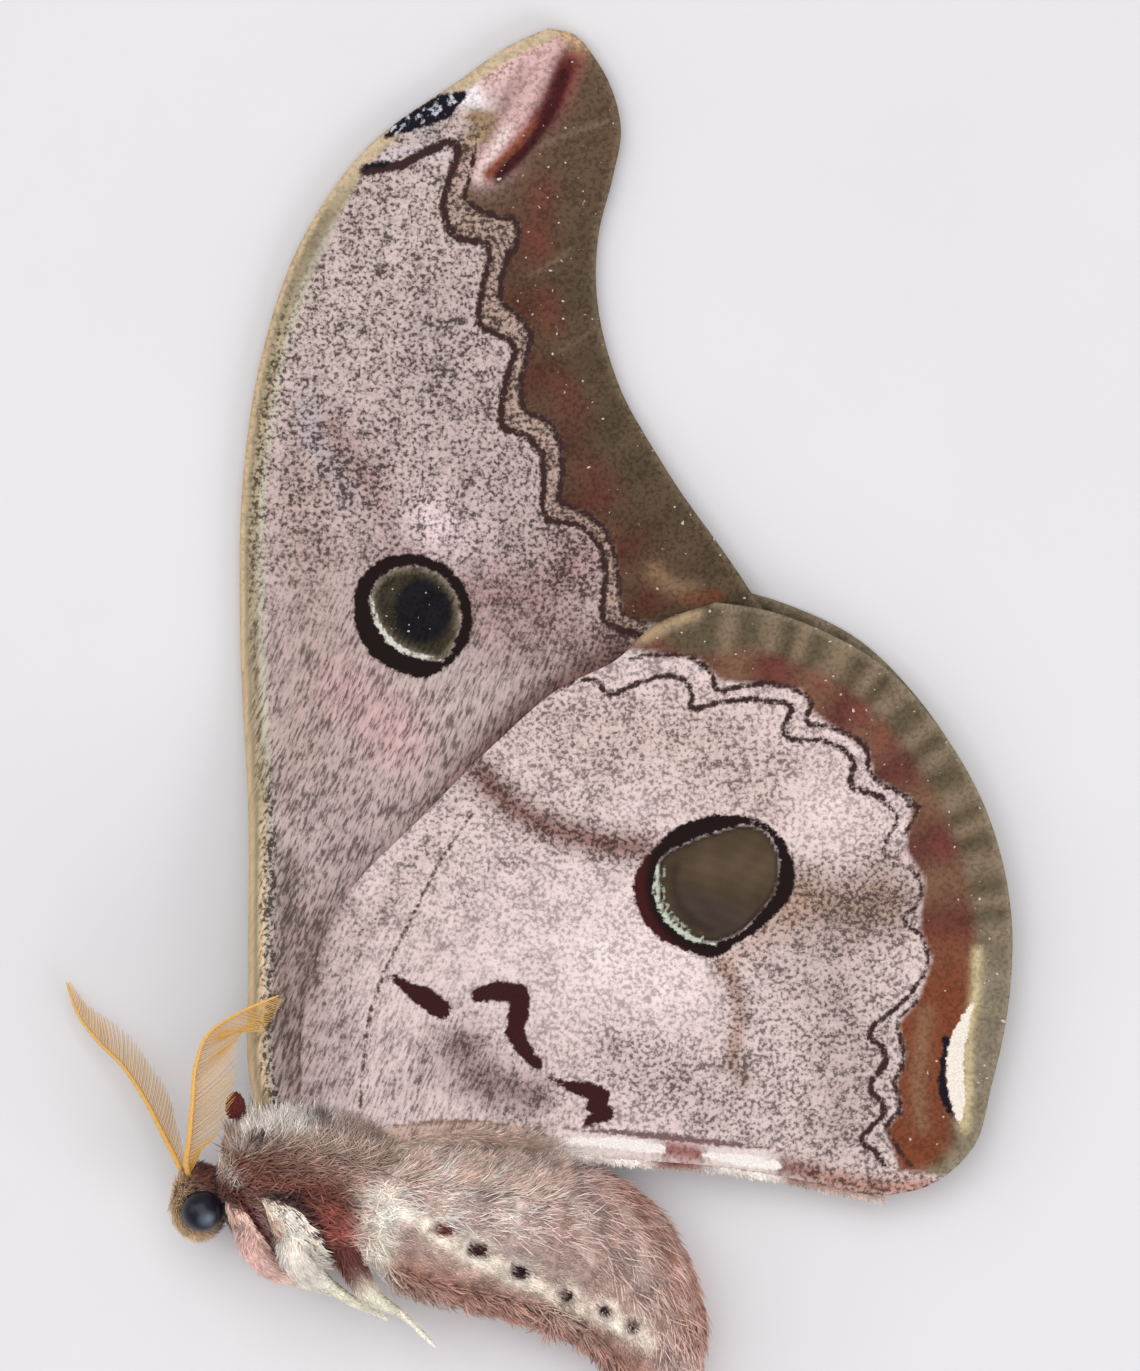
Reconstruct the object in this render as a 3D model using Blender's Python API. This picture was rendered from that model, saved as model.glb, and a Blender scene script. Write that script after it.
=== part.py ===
"""A silk moth lying on its right side, life size, with its wings folded together over its back.

Sizes are in millimetres until a mesh is made, which is in metres with +Z up. Seen from above,
the head is at the left, the forewing's tip points to +Y and the abdomen's tip to -Y. The body
and the lower pair of wings rest on small flats at z = 0.
"""
import math
import random

import bmesh
import bpy
import numpy as np
from mathutils import Vector
from mathutils.geometry import delaunay_2d_cdt

MM = 0.001
GAP = 0.3                     # clear space between two pieces that touch on the real moth

# Where the moth's own measuring point lies in the finished part
SHIFT_X = 0.1
SHIFT_Y = 0.2

# Wings: skin, veins and how the four lie in a stack
WING_THICKNESS = 0.55
VEIN_HEIGHT = 0.2
VEIN_HALF_WIDTH = 0.6
RIM_STEP = 2.4                # spacing of points along a wing's rim
VEIN_STEP = 3.4               # spacing of points along a vein
FILL_STEP = 4.6               # spacing of points in the panels between veins
FORE_TO_FORE = WING_THICKNESS + 0.32
HIND_TO_FORE = WING_THICKNESS + VEIN_HEIGHT + 0.34
FLOOR_LAYER = WING_THICKNESS / 2 + 0.12
WING_ROOT = (-16.5, -32.5)
UPPER_ROOT_RISE = 6.2         # how far the upper pair stands above its resting height at the root
UPPER_SLOPE_LENGTH = 40.0
LOWER_ROOT_RISE = 2.4
LOWER_SLOPE_LENGTH = 24.0
PANEL_CAMBER = 0.9            # the shallow arch across the middle of a wing
HIND_TURN = math.radians(2.6) # the lower hindwing stands a little further forward
FORE_SHRINK = 0.985           # the lower forewing hides behind the upper one

# Forewing rim, in runs that meet at its corners: root, front edge, tip, outer edge, hind edge
FOREWING_FRONT = [(-19.6, -35.0), (-21.9, -28.4), (-22.1, -20.0), (-22.1, -9.0), (-22.8, 6.0),
                  (-22.6, 17.6), (-21.2, 27.0), (-18.1, 36.0), (-13.2, 43.0), (-6.1, 48.2),
                  (-1.8, 51.1), (0.7, 52.2)]
FOREWING_OUTER = [(0.7, 52.2), (2.6, 51.8), (4.4, 49.8), (5.7, 47.3), (6.3, 44.4), (5.7, 40.9),
                  (4.6, 36.5), (4.4, 32.5), (6.0, 25.3), (9.8, 18.4), (15.7, 9.9), (18.9, 4.6),
                  (20.0, 0.5), (18.4, -2.2)]
FOREWING_HIND = [(18.4, -2.2), (12.3, -5.7), (1.6, -12.9), (-8.3, -22.1), (-13.6, -29.0),
                 (-15.0, -35.0)]

# Hindwing rim: front edge, outer edge round to the tornus, and the fringed inner edge
HINDWING_FRONT = [(-17.6, -35.2), (-18.1, -28.0), (-17.8, -22.5), (-14.8, -14.4), (-8.6, -7.8),
                  (-2.9, -2.1), (1.4, 1.6), (6.2, 4.1), (8.6, 6.4), (13.5, 8.3)]
HINDWING_OUTER = [(13.5, 8.3), (16.9, 7.8), (21.5, 6.2), (26.1, 3.6), (30.4, -1.0), (34.2, -7.6),
                  (36.1, -15.5), (36.0, -21.5), (34.6, -28.6), (33.2, -33.3), (29.9, -36.2),
                  (26.1, -37.1)]
HINDWING_INNER = [(26.1, -37.1), (16.2, -35.1), (4.0, -33.9), (-7.5, -32.5), (-11.6, -33.4),
                  (-12.6, -35.2)]

FOREWING_VEINS = [
    [(-19.2, -31.0), (-20.3, -14.0), (-20.8, 4.0), (-20.0, 20.0), (-17.6, 33.0)],
    [(-18.2, -31.0), (-18.6, -12.0), (-17.4, 6.0), (-13.6, 26.0), (-8.4, 42.0), (-2.4, 49.4)],
    [(-15.0, 19.6), (-7.4, 36.0), (2.2, 48.6)],
    [(-14.4, 11.2), (-5.4, 28.0), (4.6, 40.4)],
    [(-10.6, 12.2), (-4.2, 22.0), (3.8, 31.0)],
    [(-8.0, 4.4), (-1.0, 13.6), (7.4, 21.4)],
    [(-11.2, -3.4), (0.2, 5.8), (12.4, 13.4)],
    [(-14.0, -12.4), (-1.0, -1.6), (16.8, 6.0)],
    [(-17.0, -31.0), (-14.0, -12.4), (-11.2, -3.4), (-8.0, 4.4)],
    [(-16.0, -31.0), (-7.6, -18.6), (4.4, -8.2), (17.6, -0.6)],
]
HINDWING_VEINS = [
    [(-15.8, -31.0), (-15.4, -22.0), (-9.6, -11.6), (0.2, -1.8), (12.0, 6.6)],
    [(-14.2, -31.0), (-12.2, -21.3), (-7.5, -11.4), (3.4, -2.6), (19.6, 6.0)],
    [(-4.6, -8.2), (10.6, -3.4), (27.6, 1.0)],
    [(3.6, -9.6), (15.6, -7.4), (32.8, -6.4)],
    [(-8.2, -22.4), (0.4, -17.4), (7.8, -18.2), (35.2, -17.0)],
    [(0.4, -17.4), (14.0, -22.0), (35.0, -26.2)],
    [(-8.2, -22.4), (6.0, -26.6), (32.4, -33.0)],
    [(-13.4, -31.0), (-8.2, -22.4)],
    [(-12.2, -31.0), (4.0, -31.4), (24.0, -35.4)],
]

# Body rings along its length: middle x, y, z, half height across the back, half width
THORAX_RINGS = [(-24.3, -36.6, 6.1, 2.3, 2.6), (-23.6, -36.5, 6.0, 3.5, 3.7),
                (-22.0, -36.3, 5.9, 4.9, 5.1), (-20.0, -36.3, 5.9, 5.7, 6.0),
                (-18.0, -36.5, 5.9, 6.0, 6.3), (-16.0, -36.8, 5.9, 5.9, 6.3),
                (-14.0, -37.3, 5.8, 5.6, 6.1), (-12.3, -37.7, 5.7, 5.4, 5.9)]
ABDOMEN_RINGS = [(-12.0, -37.8, 5.7, 5.4, 5.9), (-8.1, -38.8, 5.6, 5.8, 6.0),
                 (-4.1, -39.5, 5.6, 6.0, 6.0), (-0.5, -40.2, 5.6, 6.2, 6.0),
                 (3.0, -40.8, 5.5, 6.6, 5.9), (5.5, -42.5, 5.4, 6.2, 5.8),
                 (7.6, -45.1, 5.2, 5.4, 5.5), (9.0, -47.9, 5.0, 4.5, 4.9),
                 (9.8, -50.4, 4.9, 3.3, 3.6), (10.2, -52.4, 4.9, 1.2, 1.4)]
BODY_SIDES = 24
RING_STEP = 1.4

# Head and eyes
HEAD_MIDDLE = (-25.9, -37.4, 6.1)
HEAD_HALF_SIZE = (2.15, 2.9, 2.6)
EYE_RADIUS = 1.7
EYE_MIDDLE = (-25.85, -38.3)
EYE_SPREAD = 2.1              # each eye's middle from the head's middle plane

# Feelers: route of the shaft with its height, and the two rows of rays beside it
LEFT_ANTENNA = [(-26.4, -36.0, 6.9), (-26.8, -34.6, 8.0), (-26.6, -32.8, 9.2), (-26.3, -29.7, 10.2),
                (-26.0, -26.8, 10.7), (-25.2, -24.7, 10.8), (-23.2, -23.2, 10.5), (-19.7, -21.6, 9.8)]
RIGHT_ANTENNA = [(-26.9, -35.8, 5.4), (-27.6, -34.3, 4.8), (-28.5, -32.6, 4.1), (-30.1, -29.6, 3.3),
                 (-31.8, -27.1, 2.8), (-33.7, -25.2, 2.4), (-35.2, -23.2, 2.0), (-36.1, -20.7, 1.6)]
SHAFT_RADIUS = 0.34
SHAFT_TIP_RADIUS = 0.25
SHAFT_STEP = 0.9
LEFT_RAYS = (4.2, math.radians(24))   # length, and how far each row leans out of the feeler's own plane
RIGHT_RAYS = (2.7, math.radians(33))
RAY_STEP = 1.05               # one ray of the row where the real feeler has three
RAY_FORWARD = math.radians(40)
RAY_HALF_WIDTH = 0.27
RAY_ROOT_LIFT = 0.06

# Legs of the left side: x, y, z and radius along each, from the body to the foot
LEG_ROUTES = {
    "leg_fore": [(-21.6, -38.0, 8.2, 0.9), (-22.0, -40.4, 8.9, 0.95), (-20.6, -42.3, 8.7, 0.85),
                 (-18.4, -43.5, 7.8, 0.5), (-15.6, -44.5, 7.1, 0.35), (-12.9, -45.8, 6.9, 0.27)],
    "leg_mid": [(-18.8, -39.0, 9.2, 1.1), (-18.7, -41.4, 10.2, 1.15), (-17.0, -43.2, 9.6, 1.0),
                (-14.8, -44.5, 8.7, 0.5), (-11.6, -46.3, 8.2, 0.28)],
    "leg_hind": [(-15.0, -39.5, 9.0, 1.0), (-14.2, -42.2, 9.7, 1.0), (-12.9, -44.3, 9.6, 0.8),
                 (-10.4, -46.0, 8.8, 0.42), (-7.9, -48.4, 7.0, 0.27)],
}
LEG_SIDES = 8
LEG_STEP = 0.9
MIDDLE_PLANE = 6.0            # height of the plane that the two sides of the body mirror in

# Locks of the coat: place along the node, angles round it (0 the back, 90 up, 180 the belly)
THORAX_LOCK_ROWS = [(0.10, 46, 120, 4, 2.4), (0.27, 62, 118, 4, 3.0), (0.45, 60, 116, 4, 3.2),
                    (0.63, 60, 116, 4, 3.2), (0.82, 52, 128, 6, 3.0)]
BELLY_LOCK_ROWS = [(0.20, 146, 206, 3, 2.6), (0.31, 146, 206, 3, 2.6), (0.42, 146, 208, 3, 2.6),
                   (0.53, 148, 208, 3, 2.5), (0.66, 148, 208, 3, 2.4), (0.78, 150, 208, 3, 2.4)]
TAIL_LOCK_ROWS = [(0.88, 25, 205, 6, 2.2)]
LOCK_SINK = 0.7               # how deep a lock's root lies in the body
LOCK_LIFT = 0.75              # how far its middle line stands over the body
BELLY_LOCK_LIFT = 1.5
LOCK_HALF_WIDTH = 0.95
LOCK_HALF_THICKNESS = 0.32

BACK = Vector((0.0, 0.0, 1.0))


def spline(points, spacing):
    """Even points along a smooth curve that passes through the given ones."""
    knots = np.array(points, float)
    lengths = np.linalg.norm(np.diff(knots, axis=0), axis=1)
    slopes = np.diff(knots, axis=0) / lengths[:, None]
    tangents = np.vstack([slopes[:1], slopes[-1:]]) if len(knots) == 2 else None
    if tangents is None:
        before, after = lengths[:-1, None], lengths[1:, None]
        inner = (slopes[:-1] * after + slopes[1:] * before) / (before + after)
        tangents = np.vstack([slopes[:1], inner, slopes[-1:]])
    fine = []
    for index, length in enumerate(lengths):
        for t in np.linspace(0.0, 1.0, 24, endpoint=False):
            h1 = 2 * t**3 - 3 * t**2 + 1
            h2 = t**3 - 2 * t**2 + t
            h3 = t**3 - t**2
            fine.append(h1 * knots[index] + h2 * length * tangents[index]
                        + (1 - h1) * knots[index + 1] + h3 * length * tangents[index + 1])
    fine.append(knots[-1])
    fine = np.array(fine)
    along = np.concatenate([[0.0], np.cumsum(np.linalg.norm(np.diff(fine[:, :3], axis=0), axis=1))])
    count = max(2, round(along[-1] / spacing) + 1)
    wanted = np.linspace(0.0, along[-1], count)
    return np.array([np.interp(wanted, along, column) for column in fine.T]).T


def closed_rim(runs, spacing):
    """One closed loop from curves that meet at corners."""
    parts = [spline(run, spacing)[:-1] for run in runs]
    first, last = np.array(runs[-1][-1]), np.array(runs[0][0])
    root_count = max(2, round(np.linalg.norm(last - first) / spacing) + 1)
    parts.append(np.linspace(first, last, root_count)[:-1])
    return np.vstack(parts)


def turned(points, about, angle=0.0, scale=1.0):
    """Points of the plan turned and scaled about one of them."""
    offset = (np.array(points, float) - about) * scale
    c, s = math.cos(angle), math.sin(angle)
    return offset @ np.array([[c, s], [-s, c]]) + about


def smoothstep(value):
    t = np.clip(value, 0.0, 1.0)
    return t * t * (3 - 2 * t)


def segment_distance(points, start, end):
    """Distance of many points from one straight piece."""
    way = end - start
    t = np.clip(((points - start) @ way) / (way @ way), 0.0, 1.0)
    return np.linalg.norm(points - (start + t[:, None] * way), axis=1)


def line_distance(points, line):
    """Distance of many points from a chain of straight pieces."""
    return np.min([segment_distance(points, a, b) for a, b in zip(line[:-1], line[1:])], axis=0)


def inside(points, rim):
    """Which points lie within a closed rim."""
    result = np.zeros(len(points), bool)
    for a, b in zip(rim, np.roll(rim, -1, axis=0)):
        crosses = (a[1] > points[:, 1]) != (b[1] > points[:, 1])
        with np.errstate(divide="ignore", invalid="ignore"):
            reach = (b[0] - a[0]) * (points[:, 1] - a[1]) / (b[1] - a[1]) + a[0]
        result ^= crosses & (points[:, 0] < reach)
    return result


def resting_height(points):
    """Middle of the gap between the two forewings where all four wings lie pressed together.

    Past the hindwings' front edge the forewings sink by one layer, and the middle of the wings
    arches a little off the floor.
    """
    x, y = points[:, 0], points[:, 1]
    past_hindwing = ((x + 18.0) * -31.0 + (y + 23.0) * 35.0) / 46.8
    sink = smoothstep((past_hindwing - 7.5) / 14.0) * HIND_TO_FORE
    arch_fore = np.exp(-(((x + 9.0) / 9.0) ** 2 + ((y - 12.0) / 20.0) ** 2))
    arch_hind = np.exp(-(((x - 12.0) / 13.0) ** 2 + ((y + 14.0) / 11.0) ** 2))
    stack = FLOOR_LAYER + HIND_TO_FORE + FORE_TO_FORE / 2
    return stack - sink + PANEL_CAMBER * (arch_fore + arch_hind)


def wing_height(points, upper, hind):
    """Height of the middle of one wing's skin over the plan."""
    reach = np.linalg.norm(points - WING_ROOT, axis=1)
    height = resting_height(points)
    if upper:
        height += FORE_TO_FORE / 2 + (HIND_TO_FORE if hind else 0.0)
        height += UPPER_ROOT_RISE * (1 - smoothstep(reach / UPPER_SLOPE_LENGTH))
    else:
        height -= FORE_TO_FORE / 2 + (HIND_TO_FORE if hind else 0.0)
        height += LOWER_ROOT_RISE * (1 - smoothstep(reach / LOWER_SLOPE_LENGTH))
    return height


def spread_points(rim, veins):
    """Rim, vein crests, vein feet and panel points of one wing, none too close to another."""
    kept = [tuple(p) for p in rim]

    def add(candidates, clearance, rim_clearance):
        candidates = np.array(candidates)
        far = line_distance(candidates, np.vstack([rim, rim[:1]])) > rim_clearance
        for p in candidates[inside(candidates, rim) & far]:
            others = np.array(kept)
            if np.min(np.linalg.norm(others - p, axis=1)) > clearance:
                kept.append(tuple(p))

    for vein in veins:
        line = spline(vein, VEIN_STEP)
        along = np.gradient(line, axis=0)
        across = np.column_stack([-along[:, 1], along[:, 0]])
        across *= VEIN_HALF_WIDTH / np.linalg.norm(across, axis=1)[:, None]
        add(line, 0.45, 0.5)
        add(np.vstack([line + across, line - across]), 0.45, 0.5)
    low, high = rim.min(axis=0), rim.max(axis=0)
    rows = np.arange(low[1], high[1], FILL_STEP * 0.87)
    grid = [(x + (row % 2) * FILL_STEP / 2, y) for row, y in enumerate(rows)
            for x in np.arange(low[0], high[0], FILL_STEP)]
    add(grid, FILL_STEP * 0.42, 1.2)
    return np.array(kept)


def new_object(name, vertices, faces, colour, roughness, parent):
    """A named object from points in millimetres, with its own plain finish."""
    mesh = bpy.data.meshes.new(name)
    mesh.from_pydata([tuple(float(c) * MM for c in v) for v in vertices], [], faces)
    shape = bmesh.new()
    shape.from_mesh(mesh)
    bmesh.ops.triangulate(shape, faces=shape.faces[:])
    shape.to_mesh(mesh)
    shape.free()
    obj = bpy.data.objects.new(name, mesh)
    bpy.context.scene.collection.objects.link(obj)
    material = bpy.data.materials.new(name)
    material.use_nodes = True
    shader = material.node_tree.nodes["Principled BSDF"]
    shader.inputs["Base Color"].default_value = (*colour, 1.0)
    shader.inputs["Roughness"].default_value = roughness
    shader.inputs["Metallic"].default_value = 0.0
    mesh.materials.append(material)
    obj.parent = parent
    return obj


def keep_largest(obj):
    """Drops every scrap but the largest closed surface."""
    shape = bmesh.new()
    shape.from_mesh(obj.data)
    bmesh.ops.remove_doubles(shape, verts=shape.verts[:], dist=0.002 * MM)
    bmesh.ops.dissolve_degenerate(shape, edges=shape.edges[:], dist=0.002 * MM)
    bmesh.ops.triangulate(shape, faces=shape.faces[:])
    unseen = set(shape.faces)
    islands = []
    while unseen:
        island, front = set(), [unseen.pop()]
        while front:
            face = front.pop()
            island.add(face)
            for edge in face.edges:
                for other in edge.link_faces:
                    if other in unseen:
                        unseen.remove(other)
                        front.append(other)
        islands.append(island)
    islands.sort(key=lambda faces: sum(face.calc_area() for face in faces))
    for island in islands[:-1]:
        bmesh.ops.delete(shape, geom=list(island), context="FACES")
    loose = [vertex for vertex in shape.verts if not vertex.link_faces]
    bmesh.ops.delete(shape, geom=loose, context="VERTS")
    shape.to_mesh(obj.data)
    shape.free()


def take_result(obj):
    """Makes what the modifiers show the object's own mesh."""
    bpy.context.view_layer.update()
    result = bpy.data.meshes.new_from_object(obj.evaluated_get(bpy.context.evaluated_depsgraph_get()))
    result.name = obj.name
    obj.modifiers.clear()
    old = obj.data
    obj.data = result
    bpy.data.meshes.remove(old)


def apply_boolean(obj, other, operation):
    """Cuts or joins with another object, in this object's own mesh."""
    modifier = obj.modifiers.new("boolean", "BOOLEAN")
    modifier.operation = operation
    modifier.solver = "EXACT"
    modifier.object = other
    take_result(obj)
    keep_largest(obj)


def make_cutter(name, vertices, faces, parent):
    cutter = new_object(name, vertices, faces, (0.5, 0.5, 0.5), 0.5, parent)
    cutter.hide_render = True
    cutter.display_type = "WIRE"
    return cutter


def drop(cutter):
    mesh = cutter.data
    materials = [slot.material for slot in cutter.material_slots]
    bpy.data.objects.remove(cutter)
    bpy.data.meshes.remove(mesh)
    for material in materials:
        bpy.data.materials.remove(material)


def tube(rings):
    """Vertices and faces of a closed tube through rings of points, with flat ends."""
    sides = len(rings[0])
    vertices = [p for ring in rings for p in ring]
    faces = []
    for low in range(0, (len(rings) - 1) * sides, sides):
        for i in range(sides):
            j = (i + 1) % sides
            faces.append((low + i, low + j, low + sides + j, low + sides + i))
    for ring_start, turn in ((0, -1), ((len(rings) - 1) * sides, 1)):
        middle = len(vertices)
        vertices.append(np.mean(vertices[ring_start:ring_start + sides], axis=0))
        for i in range(sides):
            j = (i + 1) % sides
            pair = (ring_start + i, ring_start + j)
            faces.append((middle, *pair[::turn]))
    return vertices, faces


def body_rings(stations, grow=0.0):
    """Cross-sections of the body, flattened where it lies on the floor."""
    line = spline(stations, RING_STEP)
    along = np.gradient(line[:, :2], axis=0)
    along /= np.linalg.norm(along, axis=1)[:, None]
    rings = []
    for (x, y, z, half_height, half_width), (tx, ty) in zip(line, along):
        ring = []
        for angle in np.linspace(0.0, 2 * math.pi, BODY_SIDES, endpoint=False):
            across = math.cos(angle) * (half_height + grow)
            up = math.sin(angle) * (half_width + grow)
            ring.append((x - ty * across, y + tx * across, max(z + up, 0.0 - grow)))
        rings.append(ring)
    if grow:
        rings[0] = [tuple(np.array(p) - (grow * along[0][0], grow * along[0][1], 0)) for p in rings[0]]
        rings[-1] = [tuple(np.array(p) + (grow * along[-1][0], grow * along[-1][1], 0))
                     for p in rings[-1]]
    return rings


def ball(middle, half_size, grow=0.0, rows=10, sides=16):
    """A closed egg shape with its poles along Z."""
    vertices = []
    for row in range(1, rows):
        tilt = math.pi * row / rows
        for i in range(sides):
            turn = 2 * math.pi * i / sides
            unit = (math.sin(tilt) * math.cos(turn), math.sin(tilt) * math.sin(turn), -math.cos(tilt))
            vertices.append([m + (h + grow) * u for m, h, u in zip(middle, half_size, unit)])
    faces = []
    for low in range(0, (rows - 2) * sides, sides):
        for i in range(sides):
            j = (i + 1) % sides
            faces.append((low + i, low + j, low + sides + j, low + sides + i))
    for start, pole, turn in ((0, -1, -1), ((rows - 2) * sides, 1, 1)):
        tip = len(vertices)
        vertices.append([middle[0], middle[1], middle[2] + pole * (half_size[2] + grow)])
        for i in range(sides):
            pair = (start + i, start + (i + 1) % sides)
            faces.append((tip, *pair[::turn]))
    return vertices, faces


def make_wing(name, rim, veins, upper, hind, colour, parent):
    """One wing: the same triangles on both faces, veins raised on the outer face."""
    points = spread_points(rim, veins)
    loop = list(range(len(rim)))
    flat, _, triangles, _, _, _ = delaunay_2d_cdt([Vector(p) for p in points], [], [loop], 1, 1e-6)
    plan = np.array([tuple(p) for p in flat])
    middle = wing_height(plan, upper, hind)
    crest = np.min([line_distance(plan, spline(vein, VEIN_STEP)) for vein in veins], axis=0)
    ridge = VEIN_HEIGHT * np.clip(1 - crest / VEIN_HALF_WIDTH, 0.0, 1.0)
    top = middle + WING_THICKNESS / 2 + (ridge if upper else 0.0)
    bottom = np.maximum(middle - WING_THICKNESS / 2 - (0.0 if upper else ridge), 0.0)
    count = len(plan)
    vertices = [(*p, z) for p, z in zip(plan, top)] + [(*p, z) for p, z in zip(plan, bottom)]
    faces = []
    edges = set()
    for a, b, c in triangles:
        faces.append((a, b, c))
        faces.append((a + count, c + count, b + count))
        edges.update(((a, b), (b, c), (c, a)))
    for a, b in sorted(edges):
        if (b, a) not in edges:
            faces.append((b, a, a + count))
            faces.append((b, a + count, b + count))
    return new_object(name, vertices, faces, colour, 0.75, parent)


def round_rings(line, sides):
    """Round cross-sections along a line of x, y, z and radius."""
    along = np.gradient(line[:, :3], axis=0)
    rings = []
    for (x, y, z, radius), t in zip(line, along):
        t = Vector(t).normalized()
        side = t.cross(BACK).normalized()
        lift = side.cross(t)
        rings.append([Vector((x, y, z)) - side * math.cos(angle) * radius + lift * math.sin(angle) * radius
                      for angle in np.linspace(0.0, 2 * math.pi, sides, endpoint=False)])
    return rings


def blade(line, across, half_widths, half_thicknesses):
    """A flat tapered lock: lozenge cross-sections along a line, ending in a point."""
    along = np.gradient(line, axis=0)
    vertices = []
    for p, t, width, thickness in zip(line[:-1], along, half_widths, half_thicknesses):
        t = Vector(t).normalized()
        side = (across - t * across.dot(t)).normalized()
        up = side.cross(t)
        p = Vector(p)
        vertices += [p - side * width, p + up * thickness, p + side * width, p - up * thickness]
    tip = len(vertices)
    vertices.append(Vector(line[-1]))
    faces = [(3, 2, 1, 0)]
    for low in range(0, tip - 4, 4):
        for i in range(4):
            j = (i + 1) % 4
            faces.append((low + i, low + j, low + 4 + j, low + 4 + i))
    faces += [(tip - 4 + i, tip - 4 + (i + 1) % 4, tip) for i in range(4)]
    return vertices, faces


def fuse(obj, pieces, parent):
    """Joins closed pieces to an object by one union, and removes them."""
    group = bpy.data.collections.new(obj.name + "_pieces")
    cutters = [make_cutter("piece", *piece, parent) for piece in pieces]
    for cutter in cutters:
        group.objects.link(cutter)
    modifier = obj.modifiers.new("union", "BOOLEAN")
    modifier.operation = "UNION"
    modifier.solver = "EXACT"
    modifier.operand_type = "COLLECTION"
    modifier.collection = group
    take_result(obj)
    for cutter in cutters:
        drop(cutter)
    bpy.data.collections.remove(group)
    keep_largest(obj)


def make_antenna(name, route, ray_length, spread, parent):
    """A tapered shaft with two rows of rays that lean forward and open in a V."""
    route = [(*p, SHAFT_RADIUS + (SHAFT_TIP_RADIUS - SHAFT_RADIUS) * i / (len(route) - 1))
             for i, p in enumerate(route)]
    antenna = new_object(name, *tube(round_rings(spline(route, SHAFT_STEP), 6)),
                         (0.72, 0.55, 0.27), 0.6, parent)
    line = spline(route, RAY_STEP / 2)[:, :3]
    along = np.gradient(line, axis=0)
    rays = []
    for index in range(4, len(line) - 4):
        share = index / (len(line) - 1)
        length = ray_length * min(1.0, 0.35 + share * 2.6) * min(1.0, (1.06 - share) / 0.42)
        forward = Vector(along[index]).normalized()
        side = forward.cross(BACK).normalized()
        lean = 1 if index % 2 else -1
        out = side * math.cos(spread) + BACK * math.sin(spread) * lean
        reach = (out * math.cos(RAY_FORWARD) + forward * math.sin(RAY_FORWARD)) * length
        root = Vector(line[index]) + BACK * RAY_ROOT_LIFT * lean
        ray = np.array([root, root + reach * 0.55, root + reach + forward * length * 0.12])
        widths = (RAY_HALF_WIDTH, RAY_HALF_WIDTH * 0.9)
        rays.append(blade(ray, forward.cross(out).cross(reach), widths, widths))
    fuse(antenna, rays, parent)
    return antenna


def coat_locks(stations, rows, lift, draw, straight=False):
    """Flat locks that root in the body, rise and lie back along it, row over row.

    On the belly, where the body bends inward, they run straight back from their roots.
    """
    line = spline(stations, 0.25)
    along = np.gradient(line[:, :2], axis=0)
    along /= np.linalg.norm(along, axis=1)[:, None]
    last = len(line) - 1

    def place(share, angle, height):
        where = min(max(share, 0.0), 1.0) * last
        x, y, z, half_height, half_width = line[round(where)]
        tx, ty = along[round(where)]
        across, up = math.cos(angle) * (half_height + height), math.sin(angle) * (half_width + height)
        past = (share - min(max(share, 0.0), 1.0)) * length_all
        return Vector((x - ty * across + tx * past, y + tx * across + ty * past, z + up))

    length_all = np.sum(np.linalg.norm(np.diff(line[:, :2], axis=0), axis=1))
    locks = []
    for row, (share, first, final, count, length) in enumerate(rows):
        for index in range(count):
            angle = math.radians(first + (final - first) * (index + 0.5 * (row % 2)) / count)
            angle += draw.uniform(-0.05, 0.05)
            reach = length * draw.uniform(0.85, 1.15) / length_all
            swing = draw.uniform(-0.10, 0.10)
            heights = (-LOCK_SINK, lift * 0.7, lift, lift * 1.1)
            steps = (0.0, 0.32, 0.7, 1.0)
            points = [place(share + reach * t, angle + swing * t * t, h) for t, h in zip(steps, heights)]
            foot = place(share, angle, 0.0)
            outward = (place(share, angle, 1.0) - foot).normalized()
            if straight:
                back = (place(share + 0.03, angle, 0.0) - place(share - 0.03, angle, 0.0)).normalized()
                points = [foot + back * length * t + outward * h for t, h in zip(steps, heights)]
            across = (points[3] - points[0]).cross(outward).normalized()
            if min(p.z for p in points) < 2 * LOCK_HALF_THICKNESS:
                continue
            wide = LOCK_HALF_WIDTH * draw.uniform(0.85, 1.15)
            locks.append(blade(np.array(points), across, (wide * 0.8, wide, wide * 0.7),
                               (LOCK_HALF_THICKNESS, LOCK_HALF_THICKNESS, LOCK_HALF_THICKNESS * 0.8)))
    return locks


def make_leg(name, route, mirrored, parent):
    """A round leg that thins towards the foot."""
    line = spline(route, LEG_STEP)
    if mirrored:
        line = line * (1, 1, -1, 1) + (0, 0, 2 * MIDDLE_PLANE, 0)
    return new_object(name, *tube(round_rings(line, LEG_SIDES)), (0.72, 0.6, 0.56), 0.8, parent)


def clear_scene():
    for obj in list(bpy.data.objects):
        bpy.data.objects.remove(obj, do_unlink=True)


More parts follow.
